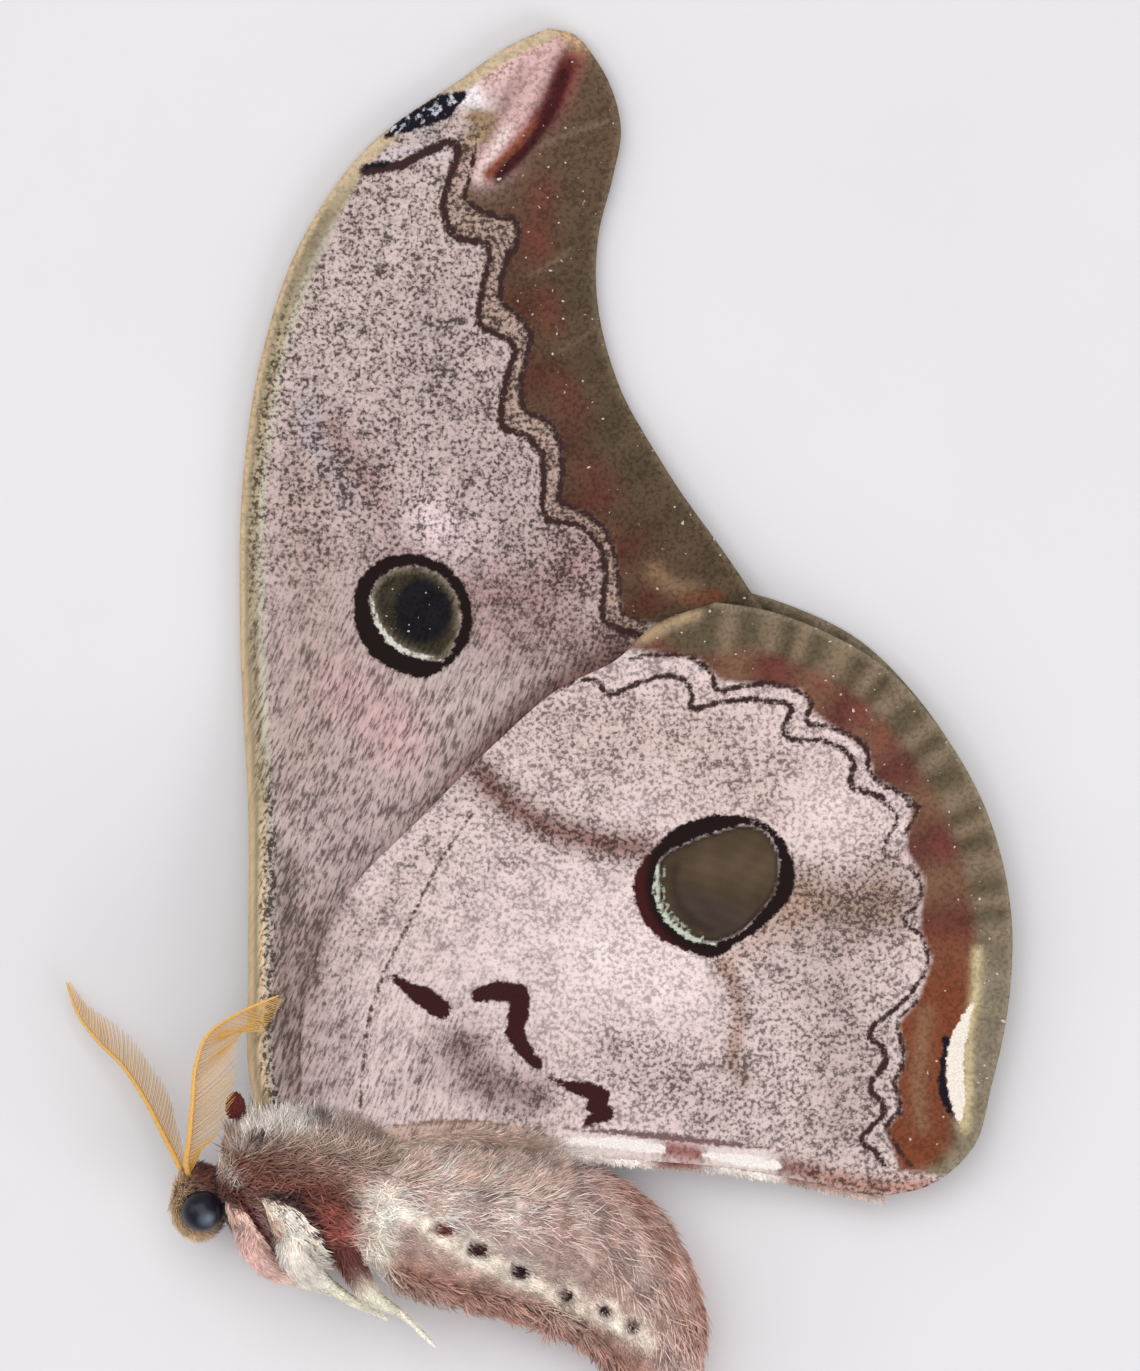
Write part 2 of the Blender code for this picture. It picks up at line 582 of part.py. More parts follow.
def main():
    clear_scene()
    moth = bpy.data.objects.new("moth", None)
    moth.location = (SHIFT_X * MM, SHIFT_Y * MM, 0.0)
    bpy.context.scene.collection.objects.link(moth)

    draw = random.Random(7)
    thorax = new_object("thorax", *tube(body_rings(THORAX_RINGS)), (0.32, 0.19, 0.15), 0.9, moth)
    fuse(thorax, coat_locks(THORAX_RINGS, THORAX_LOCK_ROWS, LOCK_LIFT, draw), moth)
    abdomen = new_object("abdomen", *tube(body_rings(ABDOMEN_RINGS)), (0.42, 0.33, 0.3), 0.9, moth)
    fuse(abdomen, coat_locks(ABDOMEN_RINGS, BELLY_LOCK_ROWS, BELLY_LOCK_LIFT, draw, straight=True)
         + coat_locks(ABDOMEN_RINGS, TAIL_LOCK_ROWS, LOCK_LIFT, draw), moth)
    body_cutters = [make_cutter("thorax_cutter", *tube(body_rings(THORAX_RINGS, GAP)), moth),
                    make_cutter("abdomen_cutter", *tube(body_rings(ABDOMEN_RINGS, GAP)), moth)]

    head = new_object("head", *ball(HEAD_MIDDLE, HEAD_HALF_SIZE), (0.4, 0.33, 0.2), 0.9, moth)
    apply_boolean(head, body_cutters[0], "DIFFERENCE")
    for side, sign in (("left", 1), ("right", -1)):
        middle = (*EYE_MIDDLE, HEAD_MIDDLE[2] + sign * EYE_SPREAD)
        eye_size = (EYE_RADIUS,) * 3
        eye = new_object("eye_" + side, *ball(middle, eye_size), (0.1, 0.12, 0.16), 0.15, moth)
        socket = make_cutter("socket", *ball(middle, eye_size, GAP), moth)
        apply_boolean(head, socket, "DIFFERENCE")
        drop(socket)
        apply_boolean(eye, body_cutters[0], "DIFFERENCE")

    head_cutter = make_cutter("head_cutter", *ball(HEAD_MIDDLE, HEAD_HALF_SIZE, GAP), moth)
    for name, route, rays in (("antenna_left", LEFT_ANTENNA, LEFT_RAYS),
                              ("antenna_right", RIGHT_ANTENNA, RIGHT_RAYS)):
        antenna = make_antenna(name, route, *rays, moth)
        apply_boolean(antenna, head_cutter, "DIFFERENCE")
    drop(head_cutter)

    fore_rim = closed_rim((FOREWING_FRONT, FOREWING_OUTER, FOREWING_HIND), RIM_STEP)[::-1]
    hind_rim = closed_rim((HINDWING_FRONT, HINDWING_OUTER, HINDWING_INNER), RIM_STEP)[::-1]
    root = np.array(WING_ROOT)
    lower_fore = [turned(v, root, 0.0, FORE_SHRINK) for v in FOREWING_VEINS]
    lower_hind = [turned(v, root, HIND_TURN) for v in HINDWING_VEINS]
    wings = [
        make_wing("forewing_left", fore_rim, FOREWING_VEINS, True, False, (0.5, 0.43, 0.42), moth),
        make_wing("hindwing_left", hind_rim, HINDWING_VEINS, True, True, (0.6, 0.53, 0.52), moth),
        make_wing("forewing_right", turned(fore_rim, root, 0.0, FORE_SHRINK), lower_fore,
                  False, False, (0.5, 0.43, 0.42), moth),
        make_wing("hindwing_right", turned(hind_rim, root, HIND_TURN), lower_hind,
                  False, True, (0.6, 0.53, 0.52), moth),
    ]
    for wing in wings:
        for cutter in body_cutters:
            apply_boolean(wing, cutter, "DIFFERENCE")

    for name, route in LEG_ROUTES.items():
        for side, mirrored in (("left", False), ("right", True)):
            leg = make_leg(name + "_" + side, route, mirrored, moth)
            for cutter in body_cutters:
                apply_boolean(leg, cutter, "DIFFERENCE")
    for cutter in body_cutters:
        drop(cutter)


main()
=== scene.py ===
# %% [markdown]
# # A silk moth at rest, life size
#
# The moth lies on its right side with its wings folded over its back, and we look straight down
# on it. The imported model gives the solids. In this lesson we dress them: four scaly wings, a
# furry body, glossy eyes and feathered feelers. First we load the solids, because every new
# piece is placed by them.

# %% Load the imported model
import math

import bmesh
import bpy
import numpy as np
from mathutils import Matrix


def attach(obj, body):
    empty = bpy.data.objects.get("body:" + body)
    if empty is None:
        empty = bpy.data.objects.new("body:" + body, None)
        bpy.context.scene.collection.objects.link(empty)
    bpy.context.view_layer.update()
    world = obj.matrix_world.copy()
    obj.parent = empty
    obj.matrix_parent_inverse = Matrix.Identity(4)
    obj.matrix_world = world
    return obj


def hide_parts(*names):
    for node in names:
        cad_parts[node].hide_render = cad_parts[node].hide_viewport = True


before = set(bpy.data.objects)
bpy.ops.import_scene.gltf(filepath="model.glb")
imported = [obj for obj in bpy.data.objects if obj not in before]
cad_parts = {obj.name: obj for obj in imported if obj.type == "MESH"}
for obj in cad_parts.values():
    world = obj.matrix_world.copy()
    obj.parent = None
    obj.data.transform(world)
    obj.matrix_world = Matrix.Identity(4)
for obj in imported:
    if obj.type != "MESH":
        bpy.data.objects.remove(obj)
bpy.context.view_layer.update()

MM = 0.001
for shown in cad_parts.values():
    shown.select_set(False)

# %% [markdown]
# Marks on the moth are placed by points picked on the photo. The ruler in it gives the
# size of one pixel, so a small helper turns such points into millimetres on the moth. Shapes
# that the solids already have are repeated in their own millimetres and shifted into the frame.

# %% Places on the moth
PIXEL = 0.07639                      # one pixel of the photo, in millimetres on the moth
PIXEL_AT_START = (538.5, 711.0)      # the pixel over the moth's measuring point
START = np.array((0.1, 0.2))         # that point in the frame, in millimetres


def from_photo(points):
    """Plan places in millimetres of points picked on the photo."""
    picked = np.array(points, float)
    return (picked - PIXEL_AT_START) * (PIXEL, -PIXEL) + START


def placed(points):
    """Plan places in the frame of points in the solids' own millimetres."""
    return np.array(points, float) + START


# %% Soft steps and smooth curves
CURVE_STEPS = 16                     # short steps between two given points of a curve


def beyond(value, start, over):
    """0 before a start, then a soft rise to 1 over the given distance."""
    t = np.clip((value - start) / over, 0.0, 1.0)
    return t * t * (3 - 2 * t)


def within(value, end, over):
    """1 well inside an end, with a soft fall to 0 over the last given distance."""
    return beyond(-value, -end, over)


def bell(value, width):
    """1 where a value is zero, and less the farther it is, within about the width."""
    return np.exp(-((value / width) ** 2))


def spline(points, spacing):
    """Even points along a smooth curve that passes through the given ones."""
    knots = np.array(points, float)
    lengths = np.linalg.norm(np.diff(knots, axis=0), axis=1)
    slopes = np.diff(knots, axis=0) / lengths[:, None]
    before, after = lengths[:-1, None], lengths[1:, None]
    inner = (slopes[:-1] * after + slopes[1:] * before) / (before + after)
    tangents = np.vstack([slopes[:1], inner, slopes[-1:]])
    t = np.linspace(0.0, 1.0, CURVE_STEPS, endpoint=False)[:, None]
    h1, h2, h3 = 2 * t**3 - 3 * t**2 + 1, t**3 - 2 * t**2 + t, t**3 - t**2
    fine = []
    for i, length in enumerate(lengths):
        fine.append(h1 * knots[i] + h2 * length * tangents[i]
                    + (1 - h1) * knots[i + 1] + h3 * length * tangents[i + 1])
    fine = np.vstack(fine + [knots[-1:]])
    along = np.concatenate([[0.0], np.cumsum(np.linalg.norm(np.diff(fine[:, :3], axis=0), axis=1))])
    wanted = np.linspace(0.0, along[-1], max(2, round(along[-1] / spacing) + 1))
    return np.array([np.interp(wanted, along, column) for column in fine.T]).T


# %% Distances in plan
def nearest(points, line):
    """Distance from a line of many points, and how far along it their nearest place lies."""
    distance = np.full(len(points), np.inf)
    where = np.zeros(len(points))
    run = 0.0
    for a, b in zip(line[:-1], line[1:]):
        way = b - a
        length = np.linalg.norm(way)
        t = np.clip(((points - a) @ way) / length**2, 0.0, 1.0)
        reach = np.linalg.norm(points - (a + t[:, None] * way), axis=1)
        where = np.where(reach < distance, run + t * length, where)
        distance = np.minimum(distance, reach)
        run += length
    return distance, where


def inside(points, rim):
    """Which points lie within a closed outline."""
    result = np.zeros(len(points), bool)
    for a, b in zip(rim, np.roll(rim, -1, axis=0)):
        crosses = (a[1] > points[:, 1]) != (b[1] > points[:, 1])
        with np.errstate(divide="ignore", invalid="ignore"):
            reach = (b[0] - a[0]) * (points[:, 1] - a[1]) / (b[1] - a[1]) + a[0]
        result ^= crosses & (points[:, 0] < reach)
    return result


def depth_in(points, outline):
    """Signed distance from a closed outline: below zero inside it."""
    distance, _ = nearest(points, np.vstack([outline, outline[:1]]))
    return np.where(inside(points, outline), -distance, distance)


# %% [markdown]
# The colours of a moth's wing come from thousands of tiny scales. Broad tones are painted
# point by point on the mesh, as soft strokes laid one over another. Thin marks with clean edges
# are kept as a distance instead, and the material turns that distance into an edge, so it
# stays sharp between mesh points. Skin and fur use the same strokes, so they always agree.

# %% Soft strokes of colour
DOT = 0.01                           # a stroke with one point is a line this long


def stroke(points, route, half_width, strength=1.0):
    """How strongly a soft stroke along a route covers each point; above 1 its middle is flat."""
    line = from_photo(route)
    if len(line) == 1:
        line = np.vstack([line, line + DOT])
    elif len(line) > 2:
        line = spline(line, 1.0)
    distance, _ = nearest(points[:, :2], line)
    return np.minimum(strength * bell(distance, half_width * PIXEL), 1.0)


def mixed(below, above, share):
    """Colour between two, by a share for each point."""
    return np.asarray(below) * (1 - share[:, None]) + np.asarray(above) * share[:, None]


def laid(colour, *layers):
    """Tones laid over a colour one after another, each by its share for each point."""
    for tone, share in layers:
        colour = mixed(colour, tone, share)
    return colour


def paint(points, colour, strokes):
    """The colour of each point, with soft strokes over it."""
    for route, half_width, strength, tone in strokes:
        colour = mixed(colour, tone, stroke(points, route, half_width, strength))
    return colour


def flecks(places, size):
    """Uneven light and dark patches about as wide as the given size, from 0 to 1."""
    x, y = places[:, 0] * math.pi / size, places[:, 1] * math.pi / size
    waves = np.sin(x + 1.7 * np.sin(0.63 * y)) * np.sin(0.9 * y + 1.9 * np.sin(0.71 * x + 0.4))
    return 0.5 + 0.5 * waves


def store(mesh, name, values):
    """Keeps a number or a colour for each point of a mesh, for its material to read."""
    if values.ndim == 1:
        mesh.attributes.new(name, "FLOAT", "POINT").data.foreach_set("value", values.astype(np.float32))
        return
    four = np.hstack([np.clip(values, 0.0, 1.0), np.ones((len(values), 1))])
    colours = mesh.attributes.new(name, "FLOAT_COLOR", "POINT")
    colours.data.foreach_set("color", four.astype(np.float32).ravel())


def read_places(mesh):
    """Places of a mesh's points, in millimetres."""
    flat = np.empty(len(mesh.vertices) * 3, np.float32)
    mesh.vertices.foreach_get("co", flat)
    return flat.reshape(-1, 3).astype(float) / MM


def write_places(mesh, places):
    mesh.vertices.foreach_set("co", (places * MM).astype(np.float32).ravel())


# %% [markdown]
# A material is a small network of nodes. The first helpers add one node and wire it in the
# same step, which keeps each finish short enough to read. Every finish starts from the place on
# the piece, and ends in a colour, a roughness and a relief.

# %% Helpers for finishes
def wire(tree, node, inputs):
    """Links sockets to a node's inputs, or sets their values."""
    for key, value in inputs.items():
        if isinstance(value, bpy.types.NodeSocket):
            tree.links.new(value, node.inputs[key])
        else:
            node.inputs[key].default_value = value


def add(tree, kind, inputs, **settings):
    """One node with its settings, its values and its links."""
    node = tree.nodes.new("ShaderNode" + kind)
    for key, value in settings.items():
        setattr(node, key, value)
    wire(tree, node, inputs)
    return node


def noise(tree, vector, scale, detail=2.0, roughness=0.6):
    """Cloudy noise, with as many bumps a metre as its scale says."""
    inputs = {"Vector": vector, "Scale": scale, "Detail": detail, "Roughness": roughness}
    return add(tree, "TexNoise", inputs).outputs[0]


def step(tree, value, low, high):
    """A soft step from 0 to 1 as a value passes from low to high."""
    inputs = {"Value": value, "From Min": low, "From Max": high}
    return add(tree, "MapRange", inputs, interpolation_type="SMOOTHSTEP").outputs[0]


def times_plus(tree, a, b, c=0.0):
    """The value a times b plus c."""
    return add(tree, "Math", {0: a, 1: b, 2: c}, operation="MULTIPLY_ADD").outputs[0]


def blend(tree, share, below, above, way="MIX"):
    """A colour between two others."""
    return add(tree, "Mix", {0: share, 6: below, 7: above}, data_type="RGBA", blend_type=way).outputs[2]


def kept(tree, name, output="Fac"):
    """What a mesh keeps for its points under a name."""
    return add(tree, "Attribute", {}, attribute_name=name).outputs[output]


def kept_tone(tree, name, factor):
    """A tone that a mesh keeps, made brighter or darker by a factor."""
    inputs = {0: kept(tree, name, "Color"), "Scale": factor}
    return add(tree, "VectorMath", inputs, operation="SCALE").outputs[0]


def start_finish(name):
    """A new material, its node tree and the place on the piece."""
    material = bpy.data.materials.new(name)
    material.use_nodes = True
    tree = material.node_tree
    return material, tree, add(tree, "TexCoord", {}).outputs["Object"]


def end_finish(material, colour, roughness, relief, strength, depth, others):
    """Wires colour, roughness and relief into the shader; the depth is in millimetres."""
    tree = material.node_tree
    bump = add(tree, "Bump", {"Height": relief, "Strength": strength, "Distance": depth * MM})
    wire(tree, tree.nodes["Principled BSDF"],
         {"Base Color": colour, "Roughness": roughness, "Normal": bump.outputs[0], **others})
    return material


def finish_piece(piece, material, slot_name, *nodes):
    """Material, body and the solids that a piece stands for; its slot name is not used."""
    piece.data.materials.append(material)
    if nodes:
        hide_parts(*nodes)
    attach(piece, "root")
    print(piece.name, "faces:", len(piece.data.polygons))


# %% [markdown]
# The wing finish. Each scale is about 0.1 mm long, and dark ones gather among pale ones in small
# clusters, which gives the pepper and salt look, and they crowd where the wing is darker. One
# noise makes the clusters, a stretched one turns them into streaks near the wing base, a broader
# one lets them crowd and thin out, and a fine one varies every scale. Single white scales are
# strewn over the dark parts. The kept distances draw the marks, with a ragged edge of scales.

# %% Wing scales
STREAK_WAY = math.radians(68)        # how the scales lie near the wing base
STREAK_STRETCH = 5.5
DARK_SCALES, WHITE_SCALES = (0.19, 0.165, 0.16, 1), (0.62, 0.56, 0.48, 1)
MARK_EDGES = {"ink": (0.13, -0.11), "light": (0.08, -0.08)}     # where each kind of mark fades in


def make_wing_finish():
    material, tree, place = start_finish("wing_scales")
    lying = {"Vector": place, "Rotation": (0, 0, STREAK_WAY), "Scale": (STREAK_STRETCH, 1.0, 1.0)}
    along = add(tree, "Mapping", lying, vector_type="TEXTURE").outputs[0]
    clusters = noise(tree, place, 3150, 1.5)
    streaks = noise(tree, along, 4700)
    crowd = noise(tree, place, 620)
    fine = noise(tree, place, 8000, 2.0, 0.7)
    value = add(tree, "Mix", {0: kept(tree, "streak"), 2: clusters, 3: streaks}).outputs[0]
    for part, weight in ((crowd, 0.30), (fine, 0.30), (kept(tree, "dense"), 0.045)):
        value = times_plus(tree, part, weight, value)
    dark = step(tree, value, 0.74, 0.98)
    pale = step(tree, value, 0.80, 0.64)
    pepper = kept(tree, "pepper")
    swing = times_plus(tree, pale, 0.22, times_plus(tree, fine, 0.6, 0.05))
    swing = times_plus(tree, crowd, -0.5, swing)
    colour = kept_tone(tree, "tone", times_plus(tree, swing, pepper, 1.08))
    colour = blend(tree, times_plus(tree, dark, pepper), colour, DARK_SCALES, "MULTIPLY")
    speck = step(tree, noise(tree, place, 3000, 0.0), 0.80, 0.86)
    colour = blend(tree, times_plus(tree, speck, kept(tree, "speck")), colour, WHITE_SCALES)

    ragged = times_plus(tree, noise(tree, place, 2300, 3.0, 0.7), 0.8, -0.40)
    grain = times_plus(tree, fine, 0.9, 0.5)
    for mark, (low, high) in MARK_EDGES.items():
        edge = step(tree, times_plus(tree, kept(tree, mark), 1.0, ragged), low, high)
        colour = blend(tree, edge, colour, kept_tone(tree, mark + "_tone", grain))
    return end_finish(material, colour, times_plus(tree, fine, 0.25, 0.6),
                      times_plus(tree, dark, -0.3, fine), 0.5, 0.05,
                      {"Sheen Weight": 0.02, "Specular IOR Level": 0.10})


wing_finish = make_wing_finish()
print("finish:", wing_finish.name, len(wing_finish.node_tree.nodes), "nodes")

# %% [markdown]
# The four wings lie in a stack: the lower hindwing on the floor, then the two forewings, then
# the upper hindwing. The solids follow one resting surface, so the same rule is used here for
# the height of each wing, and the new skin lies in the middle of each solid.

# %% How the wings lie
WING_ROOT = placed((-16.5, -32.5))
FORE_GAP = 0.87                      # from one forewing's middle to the other's
HIND_GAP = 1.09                      # from a forewing's middle to the hindwing beside it
LOWEST_MIDDLE = 0.395
UPPER_RISE, UPPER_SLOPE = 6.2, 40.0  # how high the wings climb to the root, and from how far
LOWER_RISE, LOWER_SLOPE = 2.4, 24.0
HIND_EDGE = placed((-18.0, -23.0))   # a spot on the hindwing's front edge
OVER_EDGE = np.array((-31.0, 35.0)) / 46.8
SINK_FROM, SINK_OVER = 7.5, 14.0     # past that edge the forewings sink to the floor
CAMBER = 0.9
DOMES = [((-9.0, 12.0), (9.0, 20.0)), ((12.0, -14.0), (13.0, 11.0))]    # middles and half sizes


def resting_height(points):
    """Height between the two forewings where all the wings lie pressed together."""
    past_hindwing = (points - HIND_EDGE) @ OVER_EDGE
    sink = beyond(past_hindwing, SINK_FROM, SINK_OVER) * HIND_GAP
    dome = sum(bell(np.linalg.norm((points - placed(middle)) / half, axis=1), 1.0) for middle, half in DOMES)
    return LOWEST_MIDDLE + HIND_GAP + FORE_GAP / 2 - sink + CAMBER * dome


def wing_height(points, upper, hind):
    """Height of the middle of one wing's skin."""
    side, rise, slope = (1, UPPER_RISE, UPPER_SLOPE) if upper else (-1, LOWER_RISE, LOWER_SLOPE)
    from_middle = FORE_GAP / 2 + (HIND_GAP if hind else 0.0)
    reach = np.linalg.norm(points - WING_ROOT, axis=1)
    return resting_height(points) + side * from_middle + rise * within(reach, slope, slope)


# %% [markdown]
# The outlines of the wings, in runs that meet at real corners, and the main veins. They are
# the same measures as the solids have.

# %% Outlines and veins
FORE_FRONT = [(-19.6, -35.0), (-21.9, -28.4), (-22.1, -20.0), (-22.1, -9.0), (-22.8, 6.0), (-22.6, 17.6),
              (-21.2, 27.0), (-18.1, 36.0), (-13.2, 43.0), (-6.1, 48.2), (-1.8, 51.1), (0.7, 52.2)]
FORE_OUTER = [(0.7, 52.2), (2.6, 51.8), (4.4, 49.8), (5.7, 47.3), (6.3, 44.4), (5.7, 40.9), (4.6, 36.5),
              (4.4, 32.5), (6.0, 25.3), (9.8, 18.4), (15.7, 9.9), (18.9, 4.6), (20.0, 0.5), (18.4, -2.2)]
FORE_BACK = [(18.4, -2.2), (12.3, -5.7), (1.6, -12.9), (-8.3, -22.1), (-13.6, -29.0), (-15.0, -35.0)]
HIND_FRONT = [(-17.6, -35.2), (-18.1, -28.0), (-17.8, -22.5), (-14.8, -14.4), (-8.6, -7.8), (-2.9, -2.1),
              (1.4, 1.6), (6.2, 4.1), (8.6, 6.4), (13.5, 8.3)]
HIND_OUTER = [(13.5, 8.3), (16.9, 7.8), (21.5, 6.2), (26.1, 3.6), (30.4, -1.0), (34.2, -7.6),
              (36.1, -15.5), (36.0, -21.5), (34.6, -28.6), (33.2, -33.3), (29.9, -36.2), (26.1, -37.1)]
HIND_INNER = [(26.1, -37.1), (16.2, -35.1), (4.0, -33.9), (-7.5, -32.5), (-11.6, -33.4), (-12.6, -35.2)]
FORE_VEINS = [
    [(-19.2, -31.0), (-20.3, -14.0), (-20.8, 4.0), (-20.0, 20.0), (-17.6, 33.0)],
    [(-18.2, -31.0), (-18.6, -12.0), (-17.4, 6.0), (-13.6, 26.0), (-8.4, 42.0), (-2.4, 49.4)],
    [(-15.0, 19.6), (-7.4, 36.0), (2.2, 48.6)],
    [(-14.4, 11.2), (-5.4, 28.0), (4.6, 40.4)],
    [(-10.6, 12.2), (-4.2, 22.0), (3.8, 31.0)],
    [(-8.0, 4.4), (-1.0, 13.6), (7.4, 21.4)],
    [(-11.2, -3.4), (0.2, 5.8), (12.4, 13.4)],
    [(-14.0, -12.4), (-1.0, -1.6), (16.8, 6.0)],
    [(-17.0, -31.0), (-14.0, -12.4), (-11.2, -3.4), (-8.0, 4.4)],
    [(-16.0, -31.0), (-7.6, -18.6), (4.4, -8.2), (17.6, -0.6)],
]
HIND_VEINS = [
    [(-15.8, -31.0), (-15.4, -22.0), (-9.6, -11.6), (0.2, -1.8), (12.0, 6.6)],
    [(-14.2, -31.0), (-12.2, -21.3), (-7.5, -11.4), (3.4, -2.6), (19.6, 6.0)],
    [(-4.6, -8.2), (10.6, -3.4), (27.6, 1.0)],
    [(3.6, -9.6), (15.6, -7.4), (32.8, -6.4)],
    [(-8.2, -22.4), (0.4, -17.4), (7.8, -18.2), (35.2, -17.0)],
    [(0.4, -17.4), (14.0, -22.0), (35.0, -26.2)],
    [(-8.2, -22.4), (6.0, -26.6), (32.4, -33.0)],
    [(-13.4, -31.0), (-8.2, -22.4)],
    [(-12.2, -31.0), (4.0, -31.4), (24.0, -35.4)],
]
RIM_STEP, ROOT_POINTS = 0.3, 16        # along the outline, and across the wing root


def closed_rim(runs):
    """One closed outline from curves that meet at corners."""
    parts = [spline(placed(run), RIM_STEP)[:-1] for run in runs]
    first, last = placed(runs[-1][-1]), placed(runs[0][0])
    parts.append(np.linspace(first, last, ROOT_POINTS)[:-1])
    return np.vstack(parts)


# %% [markdown]
# The marks of the forewing: two dark wavy lines that run side by side, an eyespot with a black
# ring, olive iris, pale crescent and dark pupil, a black patch and a red streak near the tip,
# and dark smudges on the front edge. Beyond the lines the wing turns red-brown and then olive.

# %% Marks of the forewing
FORE_LINE_ONE = [(365, 170), (376, 168), (400, 165), (420, 155), (445, 142), (456, 143), (458, 152),
                 (447, 185), (443, 205), (448, 228), (458, 238), (488, 243), (490, 260), (481, 290),
                 (478, 320), (482, 328), (510, 340), (515, 352), (505, 385), (500, 418), (502, 428),
                 (520, 433), (532, 440), (543, 455), (543, 490), (543, 510), (547, 520), (580, 525),
                 (592, 535), (602, 550), (606, 575), (602, 610), (604, 622), (620, 630), (645, 636)]
FORE_LINE_TWO = [(475, 150), (468, 185), (463, 197), (480, 210), (500, 217), (515, 218), (518, 230),
                 (516, 245), (508, 255), (501, 280), (500, 300), (520, 318), (532, 335), (527, 355),
                 (521, 380), (520, 400), (525, 412), (540, 417), (552, 425), (561, 445), (563, 470),
                 (558, 500), (580, 512), (590, 517), (605, 530), (614, 550), (618, 580), (620, 600),
                 (622, 614), (645, 622)]
FORE_RING = [(413, 554), (440, 562), (462, 582), (472, 612), (467, 644), (448, 666), (424, 678),
             (394, 670), (366, 649), (354, 616), (357, 584), (380, 560)]
FORE_IRIS = [(416, 566), (438, 573), (455, 592), (461, 616), (456, 640), (444, 660), (420, 658),
             (396, 645), (376, 622), (370, 596), (384, 574)]
FORE_PUPIL = [(424, 582), (442, 594), (449, 614), (440, 633), (420, 640), (402, 628), (398, 606),
              (406, 588)]
FORE_CRESCENT = [(371, 596), (376, 618), (388, 638), (404, 651), (440, 660)]
FORE_BORDER_CORNERS = [(720, 640), (820, 600), (820, 300), (700, 0), (560, 10), (520, 60)]


# %% A helper for clean-edged marks
def closed_curve(points, spacing=0.25):
    """A smooth closed outline through points picked on the photo."""
    loop = from_photo(points)
    wrapped = np.vstack([loop[-2:], loop, loop[:2]])
    fine = spline(wrapped, spacing)
    gaps = np.linalg.norm(fine - loop[0], axis=1)
    half = len(fine) // 2
    return fine[np.argmin(gaps[:half]):half + np.argmin(gaps[half:])]


class Marks:
    """Signed distances and tones of the clean-edged marks on one wing."""

    def __init__(self, points):
        self.points = points
        self.edge = np.full(len(points), 5.0)
        self.tone = np.zeros((len(points), 3))

    def shape(self, distance, tone):
        closer = distance < self.edge
        self.edge = np.where(closer, distance, self.edge)
        self.tone = np.where(closer[:, None], np.array(tone), self.tone)

    def line(self, route, widths, tone, smooth=True):
        """A line whose half width in pixels runs evenly through the given values."""
        way = from_photo(route)
        way = spline(way, 0.35) if smooth else way
        distance, where = nearest(self.points, way)
        total = np.sum(np.linalg.norm(np.diff(way, axis=0), axis=1))
        half = np.interp(where / total, np.linspace(0, 1, len(widths)), widths) * PIXEL
        self.shape(distance - half, tone)

    def lines(self, table):
        for mark in table:
            self.line(*mark)


# %% Draw the forewing's marks
BROWN_LINE = (0.046, 0.022, 0.020)
RING_BLACK = (0.014, 0.006, 0.006)
BLACK_NAVY = (0.010, 0.008, 0.015)
PUPIL = (0.008, 0.007, 0.010)
PATCH_SCALES = 44                    # white scales in the black patch near the tip
PATCH_FROM, PATCH_RUN = np.array((392, 133)), np.array((68, -37))
PATCH_SCATTER, PATCH_SCALE = 0.40, 0.11
FORE_DARK_LINES = [
    (FORE_LINE_ONE, (6, 4.2, 3.6, 3.4, 3.4, 3.8, 3.4, 3.2, 3.2, 3.6), BROWN_LINE, False),
    (FORE_LINE_TWO, (1.8, 3.0, 3.2, 3.0, 3.0, 3.2, 2.6, 1.8), BROWN_LINE, False),
    ([(367, 169), (386, 165)], (6, 5), BLACK_NAVY),
    ([(386, 136), (405, 124), (428, 114), (446, 104), (462, 94)], (2, 8, 11, 13, 4), BLACK_NAVY),
]


def forewing_marks(points):
    """Dark marks, light marks, and how far each point lies past the outer wavy line."""
    dark, light = Marks(points), Marks(points)
    dark.lines(FORE_DARK_LINES)
    ring, iris = (depth_in(points, closed_curve(outline)) for outline in (FORE_RING, FORE_IRIS))
    dark.shape(np.maximum(ring, -iris), RING_BLACK)
    light.line(FORE_CRESCENT, (1.0, 2.6, 3.0, 2.8, 1.0), (0.72, 0.70, 0.62))
    scatter = np.random.default_rng(3)
    for run in scatter.uniform(0.0, 1.0, PATCH_SCALES):
        place = from_photo([PATCH_FROM + PATCH_RUN * run]) + scatter.normal(0.0, PATCH_SCATTER, 2)
        light.shape(np.linalg.norm(points - place, axis=1) - PATCH_SCALE, (0.62, 0.63, 0.70))
    border = np.vstack([spline(from_photo(FORE_LINE_TWO), 0.35), from_photo(FORE_BORDER_CORNERS)])
    return dark, light, -depth_in(points, border), iris


# %% [markdown]
# The marks of the hindwing: a pair of wavy lines that fade towards the hind corner, a large
# eyespot whose iris is a clear olive window, three maroon blots, and near the hind corner a
# white crescent with a black inner edge.

# %% Marks of the hindwing
HIND_LINE_ONE = [(560, 690), (580, 680), (598, 681), (605, 692), (640, 683), (658, 677), (686, 682),
                 (692, 698), (690, 707), (720, 702), (760, 700), (792, 708), (784, 732), (790, 738),
                 (820, 740), (843, 750), (854, 764), (850, 785), (878, 796), (891, 808), (897, 820),
                 (887, 838), (883, 852)]
HIND_LINE_ONE_SIDE = [(883, 852), (890, 862), (915, 873), (921, 886), (918, 902), (904, 919), (919, 934),
                      (928, 951)]
HIND_LINE_ONE_LOW = [(925, 947), (928, 960), (915, 987), (885, 1017), (871, 1029), (869, 1037),
                     (882, 1046), (886, 1060), (871, 1083), (872, 1092), (882, 1102), (884, 1112),
                     (867, 1130), (861, 1140), (876, 1152), (885, 1165)]
HIND_LINE_TWO = [(628, 660), (650, 655), (700, 663), (712, 675), (715, 690), (740, 686), (760, 684),
                 (800, 692), (811, 703), (806, 720), (838, 729), (868, 753), (868, 768), (876, 780),
                 (905, 796), (916, 806), (905, 834)]
